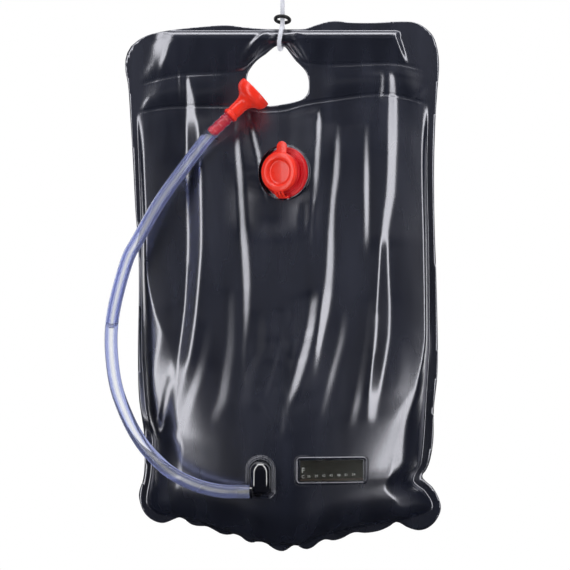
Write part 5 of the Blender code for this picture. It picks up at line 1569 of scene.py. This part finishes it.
def braid_tree():
    """Geometry Nodes that turn a curve into a round braid of eight flat strands."""
    tree, start, end = curve_tree("rope_braid", BRAID_SIZES)
    give = start.outputs

    def reckon(operation, *values):
        return calc(tree, operation, *values)

    def scaled(vector, factor):
        node = add_node(tree, "ShaderNodeVectorMath", [(0, vector)], operation="SCALE")
        tree.links.new(factor, node.inputs["Scale"])
        return node.outputs[0]

    def together(operation, *vectors):
        node = add_node(tree, "ShaderNodeVectorMath", list(enumerate(vectors)), operation=operation)
        return node.outputs[0]

    def even_steps(step):
        line = add_node(tree, "GeometryNodeResampleCurve", [("Curve", give["Geometry"]), ("Length", step)],
                        mode="LENGTH")
        return line.outputs[0]

    copies = add_node(tree, "GeometryNodeDuplicateElements", [
        ("Geometry", even_steps(0.0005)), ("Amount", 8),
    ], domain="SPLINE")
    index = copies.outputs["Duplicate Index"]
    way = reckon("SUBTRACT", 1.0, reckon("MULTIPLY", reckon("MODULO", index, 2.0), 2.0))
    start_turn = reckon("MULTIPLY", reckon("FLOOR", reckon("DIVIDE", index, 2.0)), math.pi / 2)
    along = add_node(tree, "GeometryNodeSplineParameter").outputs["Length"]
    turns = reckon("MULTIPLY", reckon("DIVIDE", along, give["Pitch"]), 2 * math.pi)
    angle = reckon("ADD", reckon("MULTIPLY", turns, way), start_turn)
    crossing = reckon("COSINE", reckon("MULTIPLY", turns, 4.0))
    lift = reckon("MULTIPLY", reckon("MULTIPLY", crossing, give["Weave"]), way)
    radius = reckon("ADD", give["Radius"], lift)
    normal = add_node(tree, "GeometryNodeInputNormal").outputs[0]
    tangent = add_node(tree, "GeometryNodeInputTangent").outputs[0]
    side = together("CROSS_PRODUCT", tangent, normal)
    outward = together("ADD", scaled(normal, reckon("COSINE", angle)), scaled(side, reckon("SINE", angle)))
    held = add_node(tree, "GeometryNodeStoreNamedAttribute", [
        ("Geometry", copies.outputs["Geometry"]), ("Name", "outward"), ("Value", outward),
    ], data_type="FLOAT_VECTOR", domain="POINT")
    wound = add_node(tree, "GeometryNodeSetPosition", [
        ("Geometry", held.outputs["Geometry"]), ("Offset", scaled(outward, radius)),
    ])
    kept = add_node(tree, "GeometryNodeInputNamedAttribute", [("Name", "outward")], data_type="FLOAT_VECTOR")
    faced = add_node(tree, "GeometryNodeSetCurveNormal", [
        ("Curve", wound.outputs["Geometry"]), ("Normal", kept.outputs["Attribute"]),
    ], mode="FREE")
    round_line = add_node(tree, "GeometryNodeCurvePrimitiveCircle", [("Resolution", 10), ("Radius", 1.0)])
    flat = add_node(tree, "ShaderNodeCombineXYZ", [("X", give["Thin"]), ("Y", give["Wide"]), ("Z", 1.0)])
    profile = add_node(tree, "GeometryNodeTransform", [
        ("Geometry", round_line.outputs["Curve"]), ("Scale", flat.outputs[0]),
    ])
    core_line = add_node(tree, "GeometryNodeCurvePrimitiveCircle", [
        ("Resolution", 12), ("Radius", give["Core"]),
    ])
    both = tree.nodes.new("GeometryNodeJoinGeometry")
    swept = ((faced.outputs[0], profile.outputs[0]), (even_steps(0.0015), core_line.outputs["Curve"]))
    for line, section in swept:
        body = add_node(tree, "GeometryNodeCurveToMesh", [
            ("Curve", line), ("Profile Curve", section), ("Fill Caps", True),
        ])
        tree.links.new(body.outputs["Mesh"], both.inputs["Geometry"])
    smooth = add_node(tree, "GeometryNodeSetShadeSmooth", [("Geometry", both.outputs["Geometry"])])
    real = add_node(tree, "GeometryNodeRealizeInstances", [("Geometry", smooth.outputs["Geometry"])])
    finish = add_node(tree, "GeometryNodeSetMaterial", [
        ("Geometry", real.outputs["Geometry"]), ("Material", give["Material"]),
    ])
    tree.links.new(finish.outputs["Geometry"], end.inputs["Geometry"])
    return tree


# %% Braided pieces
BRAID = braid_tree()
BRAID_PITCH = 12 * MM
ROPE_WHITE = plastic("rope_white", (0.72, 0.73, 0.80), 0.75, grain=(0.0005, 6e-5), patch=(0.004, 3.0))
constants(ROPE_WHITE, Sheen_Weight=0.3, Sheen_Roughness=0.5, Specular_IOR_Level=0.25)


def braided(name, points, node, cyclic=False):
    """A braid along points in millimetres that takes a CAD node's place."""
    spots = [Vector(p) * MM for p in points]
    long = sum((b - a).length for a, b in zip(spots, spots[1:] + (spots[:1] if cyclic else [])))
    pitch = long / round(long / BRAID_PITCH) if cyclic else BRAID_PITCH
    obj = baked(path_object(name, spots, cyclic), BRAID, name, Radius=1.85 * MM, Weave=0.32 * MM,
                Pitch=pitch, Wide=0.98 * MM, Thin=0.58 * MM, Core=1.7 * MM, Material=ROPE_WHITE)
    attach(obj, "bag")
    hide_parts(node)
    print(name, round(long, 3), "m of braid,", len(obj.data.polygons), "faces")
    return obj, spots, long


# %% Rope
LANE = 2.9
KNOT_FOOT = ROD_Z + 54.0
KNOT_TOP = KNOT_FOOT + 26.0
ROPE_TURN = [
    (-0.5, -4.4, 13.4), (-1.6, -8.3, 7.6), (-3, -11.4, 0.6), (-3.9, -10.5, -6.2), (-3.7, -6.3, -11.2),
    (-2.8, 0, -12.8), (-1.6, 6.3, -11.2), (-0.6, 10.5, -6.2), (0, 11.4, 0.6), (0, 8.3, 7.6), (0, 4.4, 13.4),
]
levels = (KNOT_FOOT - 0.3, KNOT_FOOT - 18, ROD_Z + 17.3)
rope_line = [(0, -LANE, z) for z in levels]
rope_line += [(x, y, z + ROD_Z) for x, y, z in ROPE_TURN]
rope_line += [(0, LANE, z) for z in levels[::-1]]
rope, rope_path, rope_long = braided("hanging_rope", through(rope_line, 1.0), "rope")

# %% Knot and eye
KNOT_POINTS = 240
knot_line = []
for k in range(KNOT_POINTS):
    t = 2 * math.pi * k / KNOT_POINTS
    r = 4.0 + 2.4 * math.cos(3 * t)
    knot_line.append((r * math.cos(2 * t), r * math.sin(2 * t), KNOT_FOOT + 13 + 10.2 * math.sin(3 * t)))
knot, _, _ = braided("tight_knot", knot_line, "rope_knot", True)

EYE_FOOT, EYE_CROWN, EYE_SIDE = KNOT_TOP + 0.3, 2.8, 13.2
rise = EYE_CROWN - EYE_FOOT
half_eye = [(LANE, EYE_FOOT), (LANE, EYE_FOOT + 4), (LANE + 0.5 * (EYE_SIDE - LANE), EYE_FOOT + 0.34 * rise),
            (EYE_SIDE, EYE_FOOT + 0.68 * rise), (0.72 * EYE_SIDE, EYE_FOOT + 0.92 * rise)]
eye_line = [(-x, 0, z) for x, z in half_eye] + [(0, 0, EYE_CROWN)] + [(x, 0, z) for x, z in half_eye[::-1]]
eye, _, _ = braided("hanging_eye", through(eye_line, 1.0), "rope_eye")

# %% [markdown]
# ## Ring, rod and seals
# A black rubber ring slides on the two strands and keeps them together. The carrying rod inside the sleeve
# and the two valve seals stay as the CAD model has them, and only get their finish.

# %% Ring, rod and seals
RING_MIDDLE, RING_THICK = 8.2, 2.1
ring_angles = np.linspace(0, -2 * math.pi, 33)
ring_profile = [(RING_MIDDLE + RING_THICK * math.cos(a), RING_THICK * math.sin(a)) for a in ring_angles]
RING_TILT = Matrix.Rotation(math.radians(6), 3, "Y") @ Matrix.Rotation(math.radians(-20), 3, "X")
ring = turned("sliding_ring", ring_profile, (0, 0, ROD_Z + 21.5), RING_TILT @ Vector((0, 0, 1)),
              RING_TILT @ Vector((0, 1, 0)), sides=96)
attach(ring, "ring")
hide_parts("rope_ring")
RUBBER = plastic("black_rubber", (0.010, 0.010, 0.012), 0.42, grain=(0.0006, 1.2e-5), spread=0.2)
constants(RUBBER, Specular_IOR_Level=0.3)
dress(ring, RUBBER)
dress(NODES["valve_seal_upper"], RUBBER)
dress(NODES["valve_seal_lower"], RUBBER)
dress(NODES["carry_rod"], plastic("rod_grey", (0.30, 0.30, 0.31), 0.45, patch=(0.01, 1.0), spread=0.1))
print("ring:", len(ring.data.polygons), "faces")

# %% [markdown]
# ## The hose
# The real hose is a soft clear tube with a 2 mm wall, pushed over the outlet's stub and the shower's barb.
# It hangs to the left in one wide curve, and water stands in its lower part. The wall is swept along the
# CAD model's route, a little higher at its lowest part. Above the water the bore is swept inside it, turned
# inwards. Below, wall and water bend light nearly alike, so there the tube is one solid body, and the bore
# ends in a small round water surface.

# %% Hose
HOSE_WIDE, HOSE_BORE, WATER_LEVEL = 15.0, 11.0, -482.0
STUB_Y = -OUTLET_OUT - 10.6
HOSE_START = Vector((-37.3, STUB_Y, -665.5))
HOSE_END = Vector((-61.9, -26, -239.9))
HOSE_ROUTE = [
    (-65, -69.5, 519), (-77, -69.3, 517.3), (-88, -69, 514.8), (-99, -68.2, 511.3), (-111, -67, 506.3),
    (-123, -65.3, 499.9), (-134, -63.5, 492), (-151, -60, 475.5), (-163, -56.5, 460), (-175, -53, 439),
    (-188, -48.5, 406), (-194, -45, 372), (-195, -42.5, 338), (-190, -41, 304), (-177, -40.5, 258),
    (-165, -40, 235), (-139, -37, 189.5), (-108, -31, 146),
]


def tube_rings(points, radius, around=40):
    """Rings of points round a path, without twist, for a radius or one radius per point."""
    count = len(points)
    side = (points[1] - points[0]).orthogonal().normalized()
    rings = []
    for k, p in enumerate(points):
        way = (points[min(k + 1, count - 1)] - points[max(k - 1, 0)]).normalized()
        side = (side - side.dot(way) * way).normalized()
        up = way.cross(side)
        size = radius[k] if isinstance(radius, list) else radius
        rings.append([p + size * (math.cos(a) * side + math.sin(a) * up)
                      for a in np.linspace(0, 2 * math.pi, around, endpoint=False)])
    return rings


# %% Hose route and body
hose_free = [Vector((-53, STUB_Y, -665.5))]
hose_free += [Vector((x, y, ROD_Z - depth)) for x, y, depth in HOSE_ROUTE]
hose_free.append(Vector((-83.5, -26, -260.3)))
near_barb = through([hose_free[-1], HOSE_END], 3.0)[1:]
hose_line = [HOSE_START, *through(hose_free, 2.5, HOSE_START, HOSE_END), *near_barb]
wet = next(k for k, p in enumerate(hose_line) if k > 40 and p.z > WATER_LEVEL)
bore_line = hose_line[wet:]
meniscus = [2.2, 4.0, 5.0, 5.4]
OVER_BARB = 31
stretched = [max(0.0, 1 - (HOSE_END - p).length / OVER_BARB) for p in bore_line]
bore_sizes = [HOSE_BORE / 2 + 1.65 * min(1.0, 6 * s) for s in stretched]
bore_sizes[:4] = meniscus
hose = loft("hose_tube", tube_rings(hose_line, HOSE_WIDE / 2) + tube_rings(bore_line, bore_sizes)[::-1])
shade(hose, 60)
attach(hose, "bag")
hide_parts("hose")

# %% Clear hose finish
CLEAR_HOSE = plastic("clear_hose", (0.97, 0.98, 1.0), 0.06, grain=(0.004, 1e-6), spread=0.01,
                     rough_spread=0.02)
constants(CLEAR_HOSE, Transmission_Weight=0.8, IOR=1.40)
facing = add_node(CLEAR_HOSE.node_tree, "ShaderNodeLayerWeight", [("Blend", 0.42)])
deeper = add_node(CLEAR_HOSE.node_tree, "ShaderNodeMapRange", [
    ("Value", facing.outputs["Facing"]), ("From Min", 0.004), ("From Max", 0.07),
])
shift_color(CLEAR_HOSE, deeper.outputs["Result"], (0.42, 0.47, 0.78))
CLEAR_FROM, CLEAR_ABOVE = -0.263, -0.259
thinner = add_node(CLEAR_HOSE.node_tree, "ShaderNodeMapRange", [
    ("Value", height_of(CLEAR_HOSE)), ("From Min", CLEAR_FROM), ("From Max", CLEAR_ABOVE),
    ("To Min", 1.0), ("To Max", 0.12),
])
CLEAR_HOSE.node_tree.links.new(
    thinner.outputs["Result"], CLEAR_HOSE.node_tree.nodes["Principled BSDF"].inputs["Alpha"])
dress(hose, CLEAR_HOSE)
print("hose finish:", CLEAR_HOSE.name)

# %% [markdown]
# ## The lights
# Black glossy film shows little but the lamps it mirrors. Two tall soft boxes at the sides draw the bright
# bands of the folds, two from above light the sleeve and the rims, and a faint broad one in front gives the
# flat parts their sheen. Two more stand behind the bag, so that its back is lit the same way. The camera
# does not see the lamps themselves.


# %% Soft boxes
def softbox(name, azimuth, elevation, away, wide, tall, radiance):
    """A rectangular lamp aimed at the view's centre, from degrees round and up, with its even brightness."""
    data = bpy.data.lights.new(name, "AREA")
    data.shape = "RECTANGLE"
    data.size, data.size_y = wide, tall
    data.energy = radiance * math.pi * wide * tall
    lamp = add_object(name, data)
    a, e = math.radians(azimuth), math.radians(elevation)
    way = Vector((math.sin(a) * math.cos(e), -math.cos(a) * math.cos(e), math.sin(e)))
    lamp.location = VIEW_CENTRE + away * way
    lamp.rotation_euler = (-way).to_track_quat("-Z", "Y").to_euler()
    lamp.visible_camera = False
    return lamp


# Degrees round and up, metres away, width and height, and brightness
softbox("left_strip", -47, 16, 1.5, 0.55, 2.6, 3.9)
softbox("right_strip", 47, 16, 1.5, 0.55, 2.6, 3.9)
softbox("top_strip", 0, 80, 1.7, 1.7, 0.6, 3.0)
softbox("high_front", 0, 69, 1.8, 1.6, 0.3, 1.3)
softbox("front_sheen", 0, 11, 2.6, 2.2, 0.3, 0.12)
for turn in (133, -133):
    back_strip = softbox("back_strip", turn, 16, 1.5, 0.55, 2.6, 3.0)
    back_strip.visible_transmission = False
print("lamps:", len(bpy.data.lights))

# %% [markdown]
# ## Floor and surroundings
# A pale floor lies well below the hanging bag and keeps its shadow. In a studio, dark cards stand round a
# glossy black thing, so that little but the lamps shows in it. Here they are two curved walls and a dark
# disc, which the camera does not see. The back wall is also left out of what shows through clear pieces.


# %% Studio helpers
STUDIO_RADIUS, FLOOR_Z = 3.2, -1.3
DARK = (0.02, 0.02, 0.024)


def stage_piece(name, obj, color):
    """Give a piece of the studio its plain matt colour."""
    material = bpy.data.materials.new(name)
    material.use_nodes = True
    constants(material, Base_Color=(*color, 1), Roughness=0.8)
    obj.data.materials.append(material)
    return obj


def disc(name, radius, height, color):
    """A flat round card at this height."""
    round_card = bmesh.new()
    bmesh.ops.create_circle(round_card, cap_ends=True, segments=96, radius=radius)
    mesh = bpy.data.meshes.new(name)
    round_card.to_mesh(mesh)
    round_card.free()
    obj = add_object(name, mesh)
    obj.location = (0, 0, height)
    return stage_piece(name, obj, color)


def surround(name, first, last):
    """A curved dark wall round the bag from one angle to another, in degrees from the camera's side."""
    verts, faces = [], []
    for k in range(61):
        a = math.radians(first + (last - first) * k / 60)
        verts += [(STUDIO_RADIUS * math.sin(a), -STUDIO_RADIUS * math.cos(a), z) for z in (-2.0, 5.0)]
    for k in range(60):
        faces.append((2 * k, 2 * k + 2, 2 * k + 3, 2 * k + 1))
    obj = stage_piece(name, add_mesh(name, verts, faces), DARK)
    obj.visible_camera = False
    obj.visible_shadow = False
    return obj


# %% Floor and dark cards
floor = disc("floor", 2.0, FLOOR_Z, (0.8, 0.8, 0.8))
floor.visible_glossy = False
front = surround("front_surround", -105, 105)
back = surround("back_surround", 105, 255)
back.visible_transmission = False
back.visible_diffuse = False
card = disc("dark_card", STUDIO_RADIUS, FLOOR_Z - 0.02, DARK)
card.visible_camera = False
card.visible_diffuse = False
card.visible_shadow = False
print("studio pieces:", [obj.name for obj in (floor, front, back, card)])

# %% [markdown]
# ## The world
# The background is plain white to the camera, and to what is seen in gloss and through clear pieces. On
# dull surfaces it is a weak even light, so the lamps still shape the part.

# %% World
world = bpy.data.worlds.new("studio")
bpy.context.scene.world = world
world.use_nodes = True
world_tree = world.node_tree
seen = world_tree.nodes.new("ShaderNodeLightPath").outputs
direct = calc(world_tree, "MAXIMUM", seen["Is Camera Ray"], seen["Is Transmission Ray"])
white = calc(world_tree, "MAXIMUM", direct, seen["Is Glossy Ray"])
strength = add_node(world_tree, "ShaderNodeMapRange", [("Value", white), ("To Min", 0.3), ("To Max", 1.0)])
background = world_tree.nodes["Background"]
background.inputs["Color"].default_value = (1, 1, 1, 1)
world_tree.links.new(strength.outputs["Result"], background.inputs["Strength"])
bpy.context.scene.view_settings.view_transform = "Standard"
print("world:", world.name)
